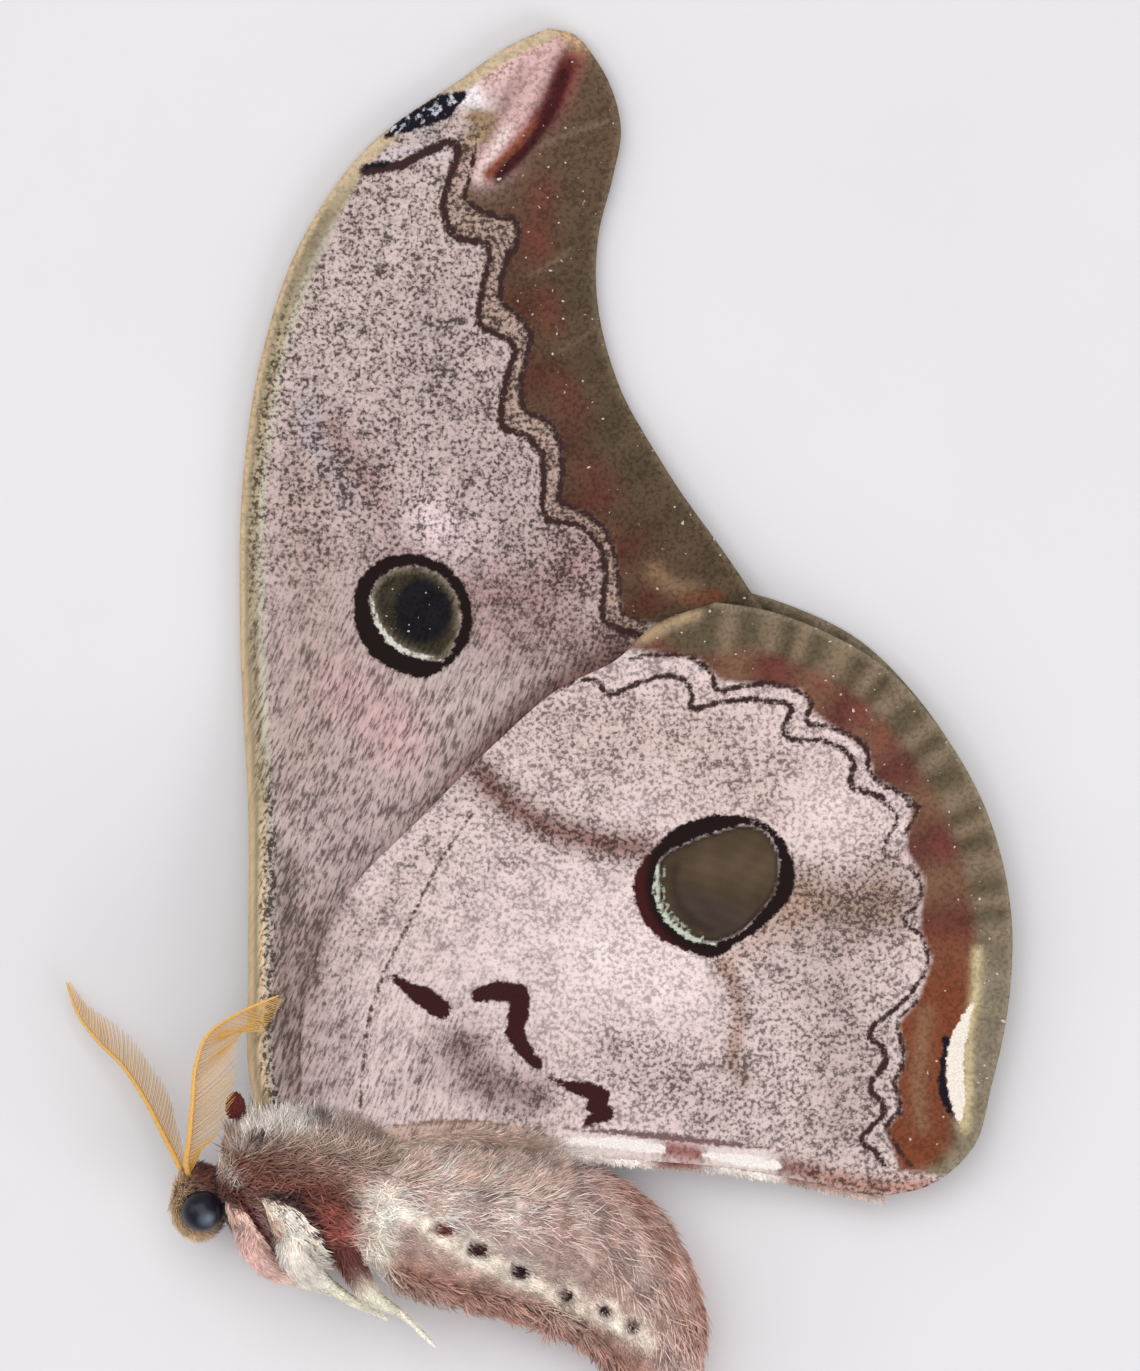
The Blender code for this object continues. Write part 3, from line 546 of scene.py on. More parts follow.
HIND_LINE_TWO_LOW = [(918, 1000), (897, 1026), (901, 1042), (904, 1060), (895, 1084), (901, 1108),
                     (886, 1128), (894, 1142), (910, 1165)]
HIND_RING = [(712, 815), (752, 818), (780, 836), (794, 866), (793, 890), (772, 918), (742, 940),
             (714, 957), (684, 950), (654, 934), (636, 906), (634, 878), (649, 853), (676, 828)]
HIND_IRIS = [(661, 858), (688, 842), (719, 831), (747, 825), (764, 830), (776, 847), (780, 867),
             (775, 890), (757, 916), (737, 934), (714, 942), (684, 935), (666, 916), (657, 888)]
HIND_CRESCENT = [(658, 862), (655, 886), (661, 911), (677, 929), (700, 941), (716, 944)]
HIND_BORDER = [(560, 640), (640, 650), (700, 660), (720, 680), (800, 690), (812, 712), (868, 752),
               (874, 778), (912, 800), (906, 850), (925, 880), (920, 930), (932, 960), (918, 1000),
               (898, 1025), (906, 1055), (896, 1085), (902, 1110), (886, 1130), (900, 1170), (1120, 1200),
               (1120, 500), (600, 500)]

# %% Draw the hindwing's marks
WINE = (0.045, 0.011, 0.012)
BROWN_RED = (0.055, 0.010, 0.009)
HIND_DARK_LINES = [
    (HIND_LINE_ONE, (2.0, 3.0, 2.8, 3.0, 2.8, 2.8, 3.2, 1.2), BROWN_LINE),
    (HIND_LINE_ONE_SIDE, (1.2, 1.8, 2.2, 2.0, 2.2), BROWN_LINE),
    (HIND_LINE_ONE_LOW, (1.6, 2.2, 2.8, 3.2, 3.2, 3.0, 2.8), BROWN_LINE),
    (HIND_LINE_TWO, (1.2, 2.6, 2.4, 2.4, 2.6, 2.4, 1.2), BROWN_LINE),
    (HIND_LINE_TWO_LOW, (0.8, 2.0, 2.4, 2.4, 2.0), BROWN_LINE),
    ([(906, 805), (922, 807)], (1.6, 1.0), BROWN_LINE),
    ([(393, 976), (410, 988), (427, 998), (442, 1009)], (3, 6, 11, 9), WINE),
    ([(478, 995), (498, 990), (519, 993), (519, 1011), (514, 1031), (526, 1051), (537, 1064)],
     (7, 10, 10, 10, 9, 8, 5), WINE, False),
    ([(549, 1075), (566, 1085), (587, 1089), (601, 1095), (595, 1106), (605, 1112), (587, 1121)],
     (2, 3.5, 7, 9, 9, 8, 4), WINE, False),
    # painted shadow: the dark line along the fold of the hindwing's inner margin
    ([(560, 1127), (620, 1131), (690, 1139), (760, 1147), (800, 1152)], (1, 2.6, 3.2, 2.4, 0.5),
     (0.20, 0.12, 0.12)),
]
HIND_THIN_LINES = [
    ([(946, 1040), (944, 1060), (942, 1080), (946, 1100), (952, 1116)], (4, 3, 4, 5, 2), BLACK_NAVY),
    ([(474, 812), (440, 862), (424, 892), (404, 932), (378, 990), (369, 1022), (364, 1062), (361, 1104)],
     (0.7, 1.0, 1.1, 1.1, 1.2, 1.2), (0.10, 0.055, 0.045)),
    ([(388, 1124), (440, 1120), (490, 1121), (535, 1128)], (0.6, 1.6, 1.6, 0.6), (0.24, 0.15, 0.12)),
]
FRINGE_WHITE = (0.97, 0.90, 0.85)
HIND_LIGHT_LINES = [
    (HIND_CRESCENT, (0.8, 2.0, 2.4, 2.4, 2.2, 0.8), (0.60, 0.66, 0.54)),
    ([(665, 866), (662, 888), (668, 908), (682, 924), (703, 936)], (0.3, 1.0, 1.2, 1.0, 0.3),
     (0.34, 0.37, 0.27)),
    ([(566, 1139), (612, 1142), (660, 1148)], (2.0, 6.0, 5.0), FRINGE_WHITE),
    ([(704, 1154), (740, 1159), (776, 1165)], (2.0, 6.0, 5.0), FRINGE_WHITE),
    ([(972, 1003), (962, 1028), (956, 1050), (955, 1072), (957, 1096), (959, 1120)],
     (1, 6, 8, 9, 8, 3), (0.96, 0.87, 0.76)),
]
RING_MIDDLE = from_photo((716, 886))
RED_SIDE = np.array((0.85, 0.3))     # the way to the ring's brown-red quarter, lower left


def hindwing_marks(points):
    """Dark marks, light marks, and how far each point lies past the outer wavy line."""
    dark, light = Marks(points), Marks(points)
    dark.lines(HIND_DARK_LINES)
    ring, iris = (depth_in(points, closed_curve(outline)) for outline in (HIND_RING, HIND_IRIS))
    iris_gap, _ = nearest(points, spline(from_photo(HIND_IRIS + HIND_IRIS[:1]), 0.5))
    lower_left = beyond((RING_MIDDLE - points) @ RED_SIDE, 1.6, 2.0)
    red_share = beyond(iris_gap, 0.6, 0.6) * lower_left
    dark.shape(np.maximum(ring, -iris), mixed(RING_BLACK, BROWN_RED, red_share))
    dark.lines(HIND_THIN_LINES)
    light.lines(HIND_LIGHT_LINES)
    return dark, light, -depth_in(points, from_photo(HIND_BORDER)), iris


# %% [markdown]
# Broad tones of both wings, as soft strokes over a ground colour. The list reads from the back
# of the painting to the front: place on the wing, half width in pixels, strength and tone.

# %% Broad tones of the forewing
FORE_GROUND = (0.455, 0.360, 0.340)
FORE_STROKES = [
    ([(330, 300), (400, 250), (440, 200)], 60, 0.8, (0.48, 0.39, 0.355)),
    ([(300, 480), (316, 620), (300, 760)], 44, 0.8, (0.385, 0.285, 0.255)),
    ([(310, 430), (340, 480), (352, 500)], 16, 0.5, (0.30, 0.26, 0.285)),
    ([(305, 400), (320, 450)], 12, 0.4, (0.33, 0.30, 0.33)),
    ([(335, 430), (370, 480), (402, 550)], 18, 0.85, (0.27, 0.18, 0.17)),
    ([(430, 300), (450, 420), (500, 500)], 36, 0.6, (0.37, 0.295, 0.28)),
    ([(425, 520), (450, 535), (475, 560)], 30, 0.9, (0.63, 0.50, 0.50)),
    ([(490, 590), (540, 600), (575, 560)], 44, 0.9, (0.26, 0.165, 0.155)),
    ([(500, 640), (560, 640), (596, 640)], 30, 0.7, (0.28, 0.185, 0.175)),
    ([(350, 690), (385, 720), (400, 745)], 36, 0.8, (0.53, 0.345, 0.335)),
    ([(345, 820), (350, 900), (330, 960)], 36, 0.6, (0.40, 0.305, 0.295)),
    ([(310, 930), (312, 1000), (320, 1060)], 34, 0.8, (0.25, 0.175, 0.155)),
    # painted shadow: a dark band on the forewing along the hindwing's front edge
    ([(620, 650), (560, 690), (500, 740), (450, 800), (390, 890), (340, 980)], 20, 1.0, (0.18, 0.104, 0.09)),
    ([(290, 860), (286, 960), (287, 1080)], 13, 0.8, (0.19, 0.14, 0.12)),
    ([(440, 150), (400, 155), (380, 158)], 9, 0.8, (0.50, 0.42, 0.44)),
]
FORE_BORDER_STROKES = [
    ([(544, 192), (540, 205)], 15, 0.75, (0.150, 0.048, 0.032)),
    ([(536, 232), (541, 250)], 15, 0.75, (0.150, 0.048, 0.032)),
    ([(545, 300), (552, 322)], 15, 0.7, (0.142, 0.045, 0.030)),
    ([(562, 385), (574, 408)], 16, 0.7, (0.134, 0.042, 0.029)),
    ([(590, 470), (604, 496)], 15, 0.6, (0.126, 0.040, 0.028)),
    ([(655, 572), (672, 586), (692, 592)], 11, 0.8, (0.25, 0.155, 0.09)),
    ([(688, 600), (716, 596)], 8, 0.7, (0.20, 0.06, 0.03)),
    ([(541, 145), (578, 130), (610, 120)], 2.6, 0.5, (0.23, 0.16, 0.11)),
    ([(530, 276), (550, 264), (572, 248)], 2.6, 0.5, (0.21, 0.14, 0.09)),
    ([(556, 352), (578, 340), (594, 326)], 2.6, 0.4, (0.20, 0.135, 0.09)),
]
FORE_TIP_STROKES = [
    ([(548, 52), (532, 96), (504, 132), (484, 164)], 22, 0.9, (0.70, 0.455, 0.44)),
    ([(460, 91), (500, 66), (540, 44)], 22, 0.95, (0.68, 0.44, 0.42)),
    ([(536, 28), (560, 28), (580, 44)], 9, 1.0, (0.62, 0.42, 0.25)),
    ([(506, 130), (493, 154), (480, 176)], 7, 0.9, (0.82, 0.65, 0.62)),
    ([(464, 88), (474, 106)], 13, 1.3, (0.87, 0.81, 0.83)),
    ([(474, 116), (488, 118), (482, 134)], 11, 1.2, (0.30, 0.20, 0.12)),
    ([(470, 138), (464, 152)], 8, 0.9, (0.27, 0.185, 0.12)),
    ([(436, 128), (425, 138)], 8, 0.6, (0.30, 0.28, 0.27)),
    ([(574, 58), (568, 76), (556, 100)], 11, 0.9, (0.31, 0.105, 0.065)),
    ([(540, 116), (518, 144), (488, 174)], 6.5, 1.1, (0.25, 0.070, 0.036)),
    ([(567, 64), (558, 88), (545, 116)], 12, 1.25, (0.115, 0.024, 0.022)),
    ([(564, 74), (556, 97), (545, 121), (526, 148), (498, 176)], 6, 1.4, (0.052, 0.010, 0.011)),
]

# %% Broad tones of the hindwing
HIND_GROUND = (0.65, 0.525, 0.505)
HIND_STROKES = [
    ([(560, 730), (700, 740), (800, 800)], 50, 0.85, (0.51, 0.385, 0.355)),
    ([(820, 800), (830, 840), (800, 850)], 36, 0.85, (0.77, 0.635, 0.61)),
    ([(650, 968), (605, 956)], 60, 0.85, (0.79, 0.68, 0.665)),
    ([(560, 940), (500, 960)], 50, 0.6, (0.69, 0.575, 0.56)),
    ([(600, 790), (560, 800)], 30, 0.4, (0.52, 0.42, 0.40)),
    ([(800, 900), (850, 910), (880, 900)], 44, 1.0, (0.245, 0.16, 0.13)),
    ([(820, 980), (850, 1060), (840, 1120)], 60, 0.85, (0.41, 0.325, 0.30)),
    ([(735, 955), (762, 938), (800, 900)], 16, 0.5, (0.37, 0.24, 0.18)),
    ([(722, 965), (736, 990), (740, 1015), (736, 1040), (732, 1058), (744, 1082)], 9, 0.95,
     (0.27, 0.15, 0.105)),
    ([(760, 1000), (770, 1080), (760, 1120)], 36, 0.5, (0.50, 0.41, 0.39)),
    ([(460, 1060), (420, 1080), (400, 1100)], 44, 0.7, (0.46, 0.365, 0.35)),
    ([(462, 1050), (485, 1080), (530, 1094)], 26, 1.0, (0.25, 0.175, 0.172)),
    # painted shadow: a dark band along the hindwing's front edge near its base
    ([(330, 900), (312, 960), (307, 1020), (306, 1080)], 22, 0.9, (0.26, 0.185, 0.165)),
    ([(335, 1030), (330, 1090)], 34, 0.8, (0.39, 0.305, 0.295)),
    ([(474, 786), (424, 850), (372, 920), (335, 990)], 13, 0.6, (0.42, 0.33, 0.30)),
    ([(460, 905), (480, 885), (492, 866), (530, 862)], 5, 0.45, (0.40, 0.32, 0.31)),
    ([(470, 820), (430, 900), (400, 960)], 22, 0.5, (0.56, 0.455, 0.43)),
    ([(620, 1060), (680, 1080), (720, 1110)], 36, 0.7, (0.41, 0.33, 0.315)),
    ([(640, 800), (570, 862)], 10, 0.6, (0.76, 0.625, 0.605)),
    ([(625, 900), (640, 960), (700, 985)], 14, 0.7, (0.76, 0.62, 0.60)),
    ([(480, 772), (500, 795), (540, 823), (600, 842), (640, 848)], 17, 1.0, (0.20, 0.112, 0.098)),
]

# %% [markdown]
# Each wing's tone is built in layers: the ground with its strokes, the border beyond the wavy
# line with its rays, the stripes of the edges, and last the eyespot. The forewing also says
# where its pepper is calm, and below zero where it is coarse, as on the low front edge.

# %% Tone of the forewing
EDGE_STEP = 0.6                      # spacing of the outlines that tones are measured from
BORDER_RED, BORDER_OLIVE = np.array((0.092, 0.035, 0.023)), np.array((0.082, 0.056, 0.033))
FORE_RAY_PITCH = 4.3
RED_FROM, RED_OVER = 6.21, 4.6       # the border's olive turns red this far in from the outer edge
STRIP_WIDTH, STRIP_LOSS = 1.95, 0.95 # the strip of the front edge, and what it loses to the tip
IRIS_OLIVE, IRIS_EDGE = (0.036, 0.028, 0.017), (0.15, 0.125, 0.085)


def between_lines(points):
    """The narrow band between the forewing's two wavy lines."""
    one = from_photo(FORE_LINE_ONE[6:])
    two = from_photo(FORE_LINE_TWO)[::-1]
    return within(depth_in(points, np.vstack([one, two])), 0.15, 0.3)


def forewing_tone(points, past_line, iris):
    """Painted ground of the forewing, border and edge stripes included."""
    outer, along = nearest(points, spline(placed(FORE_OUTER), EDGE_STEP))
    front, _ = nearest(points, spline(placed(FORE_FRONT), EDGE_STEP))
    y = points[:, 1]
    rays = 0.5 + 0.5 * np.cos(along * 2 * math.pi / FORE_RAY_PITCH)
    border = laid(BORDER_RED,
                  (BORDER_OLIVE, within(outer, RED_FROM, RED_OVER)),
                  (BORDER_OLIVE * 1.3, 0.5 * rays),
                  ((0.125, 0.075, 0.046), 0.7 * beyond(y, 33.0, 10.0)),
                  ((0.20, 0.145, 0.095), 0.8 * bell(outer, 0.35)))
    border = paint(points, border, FORE_BORDER_STROKES)
    colour = laid(paint(points, FORE_GROUND, FORE_STROKES),
                  (border, beyond(past_line, -0.15, 0.3)),
                  ((0.27, 0.185, 0.145), 0.8 * between_lines(points)))
    colour = paint(points, colour, FORE_TIP_STROKES)

    width = STRIP_WIDTH - STRIP_LOSS * beyond(y, 34.0, 10.0)
    strip = within(front, width + 0.15, 0.3)
    low_part = within(y, 2.0, 16.0)
    inner_part = beyond(front, 1.25, 0.25)
    tan_part = low_part * beyond(front, 0.6, 0.3) * within(front, 1.4, 0.3)
    stripes = laid((0.58, 0.43, 0.26),
                   ((0.30, 0.245, 0.16), beyond(front, 0.25, 0.3)),
                   ((0.45, 0.40, 0.32), inner_part),
                   ((0.33, 0.29, 0.24), low_part * inner_part),
                   ((0.56, 0.43, 0.28), tan_part),
                   ((0.12, 0.085, 0.07), 0.8 * low_part * bell(front - 1.9, 0.14)),
                   ((0.58, 0.45, 0.30), beyond(y, 37.0, 6.0)))
    pupil = depth_in(points, closed_curve(FORE_PUPIL))
    colour = laid(colour,
                  (stripes, strip),
                  (IRIS_EDGE, within(iris, 0.1, 0.2)),
                  (IRIS_OLIVE, within(iris, -0.12, 0.6)),
                  (PUPIL, within(pupil, 0.64, 0.8)))
    plain_edge = np.maximum(beyond(y, 28.0, 8.0), within(front, 0.8, 0.2))
    calm = np.maximum(strip * (0.1 + 1.9 * plain_edge),
                      1.6 * stroke(points, [(466, 92), (498, 102), (540, 60)], 26, 1.3))
    return colour, calm - 1.2 * strip * low_part * beyond(front, 0.9, 0.3)


# %% Tone of the hindwing
RED_PATCHES = [([place], 13, 0.5, (0.20, 0.050, 0.036))
               for place in ((775, 669), (823, 678), (861, 713), (880, 737), (944, 846))]
LOW_RUST = ([(926, 1012), (921, 1050), (918, 1090), (922, 1125)], 9, 0.7, (0.26, 0.145, 0.08))
CRESCENT_EDGE = ([(977, 952), (976, 990), (968, 1040), (968, 1090), (964, 1128)], 6, 0.9, (0.60, 0.50, 0.29))
HIND_GOLD = ([(640, 640), (662, 628), (696, 614)], 7, 0.9, (0.42, 0.30, 0.18))
HIND_EDGE_STROKES = [
    ([(670, 1148), (694, 1153)], 11, 0.95, (0.26, 0.085, 0.075)),
    ([(784, 1166), (814, 1173)], 11, 0.95, (0.22, 0.10, 0.08)),
    ([(830, 1178), (870, 1186), (925, 1186)], 11, 0.95, (0.36, 0.19, 0.15)),
]
WINDOW_OLIVE, WINDOW_DARK = (0.062, 0.040, 0.022), (0.022, 0.012, 0.010)
WINDOW_STROKES = [
    ([(708, 866), (758, 868)], 30, 0.9, (0.102, 0.070, 0.042)),
    ([(690, 908), (740, 925)], 20, 0.8, (0.062, 0.042, 0.036)),
]
WINDOW_SHADE = ([(676, 866), (673, 888), (679, 905), (692, 919), (710, 930)], 4, 0.55, WINDOW_DARK)
HIND_RAY_PITCH, PATCH_PITCH = 3.0, 7.5
OLIVE_WIDTH = 4.8                    # of the band along the outer edge, less at both of its ends


def window_tone(points, iris):
    """The clear olive window of the eyespot, with painted light and shade of faint creases, and a dark rim.
    """
    crease_shading = np.sin(points @ (2.2, 6.4) + 1.3 * np.sin(points[:, 0] * 0.8))
    window = paint(points, WINDOW_OLIVE, WINDOW_STROKES)
    # painted light and shade: faint stripes stand for creases in the window
    window = window * (0.84 + 0.26 * flecks(points, 2.4) + 0.05 * crease_shading)[:, None]
    return paint(points, mixed(window, WINDOW_DARK, beyond(iris, -0.55, 0.55)), [WINDOW_SHADE])


def hindwing_tone(points, past_line, iris):
    """Painted ground of the hindwing, border, fringe strip and window included."""
    outer, along = nearest(points, spline(placed(HIND_OUTER), EDGE_STEP))
    inner, _ = nearest(points, spline(placed(HIND_INNER), EDGE_STEP))
    x, y = points.T
    low = within(y, -13.0, 9.0)
    rays = 0.5 + 0.5 * np.cos(along * 2 * math.pi / HIND_RAY_PITCH + 0.8 * np.sin(along * 0.9))
    patches = 0.5 + 0.5 * np.cos(along * 2 * math.pi / PATCH_PITCH + 1.2)
    olive = mixed((0.215, 0.160, 0.102), (0.070, 0.052, 0.026), 0.75 * rays)
    brown = laid((0.19, 0.095, 0.058), ((0.120, 0.040, 0.030), patches), ((0.188, 0.054, 0.024), low))
    brown = paint(points, brown, [*RED_PATCHES, LOW_RUST])
    width = OLIVE_WIDTH - 1.8 * beyond(x, 9.0, 9.0) - 0.4 * low - 1.3 * within(y, -30.0, 4.0)
    border = laid(brown,
                  (olive, within(outer, width + 0.75, 1.5)),
                  ((0.245, 0.205, 0.145), 0.75 * low * within(outer, width, 0.8)),
                  ((0.30, 0.25, 0.17), 0.7 * bell(outer, 0.35)))
    border = paint(points, border, [CRESCENT_EDGE])
    cream = within(inner, 1.9, 0.3) * beyond(x, 1.0, 3.0) * within(x, 21.5, 3.0)
    fold = within(inner, 1.6, 0.5) * within(x, 1.5, 3.0)
    colour = mixed(paint(points, HIND_GROUND, HIND_STROKES), border, beyond(past_line, -0.2, 0.4))
    colour = mixed(paint(points, colour, [HIND_GOLD]), (0.70, 0.60, 0.56), 0.9 * cream)
    colour = mixed(paint(points, colour, HIND_EDGE_STROKES), (0.42, 0.28, 0.22), 0.8 * fold)
    return mixed(colour, window_tone(points, iris), within(iris, 0.125, 0.25)), cream


# %% [markdown]
# Cutting a wing. A fine flat grid is laid over the outline, the faces outside it are deleted,
# and the points left on the border are drawn to the true outline. Then every point gets its
# height, with the veins as low ridges and shallow pleats between them, and Solidify gives the
# sheet its thickness. A grid is chosen because its even points carry the painted marks well.

# %% Helpers that cut one wing
def turn_plan(points, angle, scale):
    """Plan points turned and scaled about the wing root."""
    c, s = math.cos(angle), math.sin(angle)
    return (points - WING_ROOT) * scale @ np.array([[c, s], [-s, c]]) + WING_ROOT


def new_piece(name, primitive, **settings):
    """A primitive that is alone selected, named as a piece."""
    bpy.ops.object.select_all(action="DESELECT")
    primitive(**settings)
    piece = bpy.context.object
    piece.name = piece.data.name = name
    return piece


def apply_modifier(piece, kind, **settings):
    """Gives a piece a modifier with these settings and applies it."""
    modifier = piece.modifiers.new(kind.lower(), kind)
    for key, value in settings.items():
        setattr(modifier, key, value)
    bpy.ops.object.modifier_apply(modifier=modifier.name)


def flat_sheet(name, rim, pitch):
    """A grid over an outline, with what lies outside deleted and the border drawn to it."""
    low, high = rim.min(axis=0) - pitch, rim.max(axis=0) + pitch
    columns, rows = (int(count) for count in np.ceil((high - low) / pitch))
    sheet = new_piece(name, bpy.ops.mesh.primitive_grid_add,
                      x_subdivisions=columns, y_subdivisions=rows, size=1.0)
    bpy.ops.object.mode_set(mode="EDIT")
    bpy.ops.transform.resize(value=(*(high - low) * MM, 1.0), center_override=(0, 0, 0))
    bpy.ops.transform.translate(value=(*(low + high) / 2 * MM, 0.0))
    bpy.ops.mesh.select_all(action="DESELECT")
    shape = bmesh.from_edit_mesh(sheet.data)
    middles = np.array([face.calc_center_median()[:2] for face in shape.faces]) / MM
    for face, is_inside in zip(shape.faces, inside(middles, rim)):
        face.select = not is_inside
    shape.select_flush(True)
    bmesh.update_edit_mesh(sheet.data)
    bpy.ops.mesh.delete(type="FACE")
    shape = bmesh.from_edit_mesh(sheet.data)
    for vertex in [v for v in shape.verts if v.is_boundary]:
        gaps = np.linalg.norm(rim - np.array(vertex.co[:2]) / MM, axis=1)
        vertex.co[:2] = rim[np.argmin(gaps)] * MM
    bmesh.update_edit_mesh(sheet.data)
    bpy.ops.object.mode_set(mode="OBJECT")
    return sheet


# %% A helper that makes one wing
WING_THICK = 0.26
VEIN_WIDTH, PLEAT_WIDTH = 0.28, 1.6
VEIN_RISE, PLEAT_RISE = 0.13, 0.10
RIPPLE_PITCH, RIPPLE_REACH, RIPPLE_RISE = 3.0, 5.0, 0.05       # the pleats along the outer edge
STREAKS_END, STREAKS_FADE = {"forewing": 50.0, "hindwing": 26.0}, 18.0
VEIN_LIGHTER = 1.12
CROWDED_BELOW, CROWDED_OVER = 0.44, 0.16       # how dark a tone is where dark scales crowd
BRIGHT_FROM, BRIGHT_OVER = 0.50, 0.22          # and how bright where the pepper is thin
BORDER_CALM, STRIPE_CALM = 0.55, 0.35          # how much each part mutes the pepper
IRIS_CALM = {"forewing": 0.2, "hindwing": 0.85}


def make_wing(name, kind, upper, pitch, angle=0.0, scale=1.0):
    """One finished wing that stands for the solid of the same name."""
    runs, veins, marks, tones = kind
    slot_name = name.split("_")[0]
    hind = slot_name == "hindwing"
    sheet = flat_sheet("wing_" + name, turn_plan(closed_rim(runs), angle, scale), pitch)
    plan = read_places(sheet.data)[:, :2]
    home = turn_plan(plan, -angle, 1 / scale)
    to_vein = np.min([nearest(home, spline(placed(vein), 1.0))[0] for vein in veins], axis=0)
    ridge = bell(to_vein, VEIN_WIDTH)
    outer, along = nearest(home, spline(placed(runs[1]), EDGE_STEP))
    ripple = np.cos(along * 2 * math.pi / RIPPLE_PITCH) * bell(outer, RIPPLE_REACH)
    relief = VEIN_RISE * ridge + PLEAT_RISE * bell(to_vein, PLEAT_WIDTH) - PLEAT_RISE / 2
    height = wing_height(plan, upper, hind) + (relief if upper else -relief) + RIPPLE_RISE * ripple
    write_places(sheet.data, np.column_stack([plan, np.maximum(height, WING_THICK / 2)]))

    dark, light, past_line, iris = marks(home)
    tone, calm = tones(home, past_line, iris)
    tone = mixed(tone, tone * VEIN_LIGHTER, 0.5 * ridge)
    quiet = np.maximum.reduce([BORDER_CALM * beyond(past_line, -0.2, 0.4),
                               IRIS_CALM[slot_name] * within(iris, 0.1, 0.2),
                               STRIPE_CALM * calm])
    dense = within(tone[:, 0], CROWDED_BELOW, CROWDED_OVER) * np.maximum(1.0 - 2.5 * quiet, 0.0)
    from_root = np.linalg.norm(home - WING_ROOT, axis=1)
    near_root = within(from_root, STREAKS_END[slot_name], STREAKS_FADE)
    coarse = np.clip(-calm, 0.0, 1.0)
    bright = beyond(tone[:, 0], BRIGHT_FROM, BRIGHT_OVER)
    pepper = 1.0 - quiet - (0.1 + 0.36 * bright if hind else 0.16 * near_root)
    speckled = np.maximum(beyond(past_line, 0.0, 1.2), 0.0 if hind else within(iris, 0.0, 0.3))
    for key, values in {"dense": dense, "tone": tone * (1 + 0.22 * dense)[:, None], "speck": speckled,
                        "streak": near_root * (0.7 if hind else 1.0 - 0.8 * coarse),
                        "pepper": np.maximum(pepper + 0.7 * coarse, 0.0),
                        "ink": dark.edge, "ink_tone": dark.tone,
                        "light": light.edge, "light_tone": light.tone}.items():
        store(sheet.data, key, values)
    bpy.ops.object.shade_smooth()
    apply_modifier(sheet, "SOLIDIFY", thickness=WING_THICK * MM, offset=0.0)
    finish_piece(sheet, wing_finish, slot_name, name)


# %% Make the four wings
UPPER_PITCH, LOWER_PITCH = 0.27, 0.45
HIND_TURN, FORE_SHRINK = math.radians(2.6), 0.985
FORE = ((FORE_FRONT, FORE_OUTER, FORE_BACK), FORE_VEINS, forewing_marks, forewing_tone)
HIND = ((HIND_FRONT, HIND_OUTER, HIND_INNER), HIND_VEINS, hindwing_marks, hindwing_tone)
make_wing("forewing_left", FORE, True, UPPER_PITCH)
make_wing("hindwing_left", HIND, True, UPPER_PITCH)
make_wing("forewing_right", FORE, False, LOWER_PITCH, scale=FORE_SHRINK)
make_wing("hindwing_right", HIND, False, LOWER_PITCH, angle=HIND_TURN)

# %% [markdown]
# The body comes next. Its cross-sections are the same as in the solids, drawn in by the depth
# of the coat, so the skin lies inside and the fur reaches the true outline. A grid rolled into
# a tube gives thorax and abdomen, the head and each leg, and a voxel remesh grows them into
# one skin with no seams.

# %% The body's own surface
THORAX = [(-24.3, -36.6, 6.1, 2.3, 2.6), (-23.6, -36.5, 6.0, 3.5, 3.7), (-22.0, -36.3, 5.9, 4.9, 5.1),
          (-20.0, -36.3, 5.9, 5.7, 6.0), (-18.0, -36.5, 5.9, 6.0, 6.3), (-16.0, -36.8, 5.9, 5.9, 6.3),
          (-14.0, -37.3, 5.8, 5.6, 6.1)]
ABDOMEN = [(-12.0, -37.8, 5.7, 5.4, 5.9), (-8.1, -38.8, 5.6, 5.8, 6.0), (-4.1, -39.5, 5.6, 6.0, 6.0),
           (-0.5, -40.2, 5.6, 6.2, 6.0), (3.0, -40.8, 5.5, 6.6, 5.9), (5.5, -42.5, 5.4, 6.2, 5.8),
           (7.6, -45.1, 5.2, 5.4, 5.5), (9.0, -47.9, 5.0, 4.5, 4.9), (9.8, -50.4, 4.9, 3.3, 3.6),
           (10.2, -52.4, 4.9, 1.2, 1.4)]
COAT_DEPTH = 0.55
SHIFT = np.array((*START, 0.0, 0.0, 0.0))
BODY_LINE = spline(np.array(THORAX + ABDOMEN) + SHIFT, 0.25)
BODY_WAY = np.gradient(BODY_LINE[:, :2], axis=0)
BODY_WAY /= np.linalg.norm(BODY_WAY, axis=1)[:, None]
WAIST = 0.29                         # share of the body's length where the thorax ends
WAIST_WIDTH, WAIST_DEPTH = 0.03, 0.5
SEGMENT_FOLDS = np.linspace(0.37, 0.93, 8)
FOLD_WIDTH, FOLD_DEPTH = 0.009, 0.16
PAST_END = 45.0                      # millimetres that one share stands for beyond the ends
ALONG_STEP, ROUND_STEP = 0.012, 0.05 # small steps that find how the skin lies


# %% Where the skin lies
def at_shares(share, line):
    """The columns of a line of points, read at shares of its length."""
    run = np.linspace(0.0, 1.0, len(line))
    return np.column_stack([np.interp(share, run, column) for column in line.T])


def body_place(share, turn, height=0.0):
    """Places over the skin: turn 0 is the back, a quarter turn is up, half a turn is the belly."""
    inner = np.clip(share, 0.0, 1.0)
    x, y, z, tall, wide = at_shares(inner, BODY_LINE).T
    way_x, way_y = at_shares(inner, BODY_WAY).T
    fold = sum(FOLD_DEPTH * bell(inner - at, FOLD_WIDTH) for at in SEGMENT_FOLDS)
    drawn_in = COAT_DEPTH + fold + WAIST_DEPTH * bell(inner - WAIST, WAIST_WIDTH) - height
    across = np.cos(turn) * np.maximum(tall - drawn_in, 0.0)
    up = np.sin(turn) * np.maximum(wide - drawn_in, 0.0)
    past = (share - inner) * PAST_END
    return np.column_stack([x - way_y * across + way_x * past, y + way_x * across + way_y * past, z + up])


def unit(vectors):
    return vectors / np.maximum(np.linalg.norm(vectors, axis=1), 1e-9)[:, None]


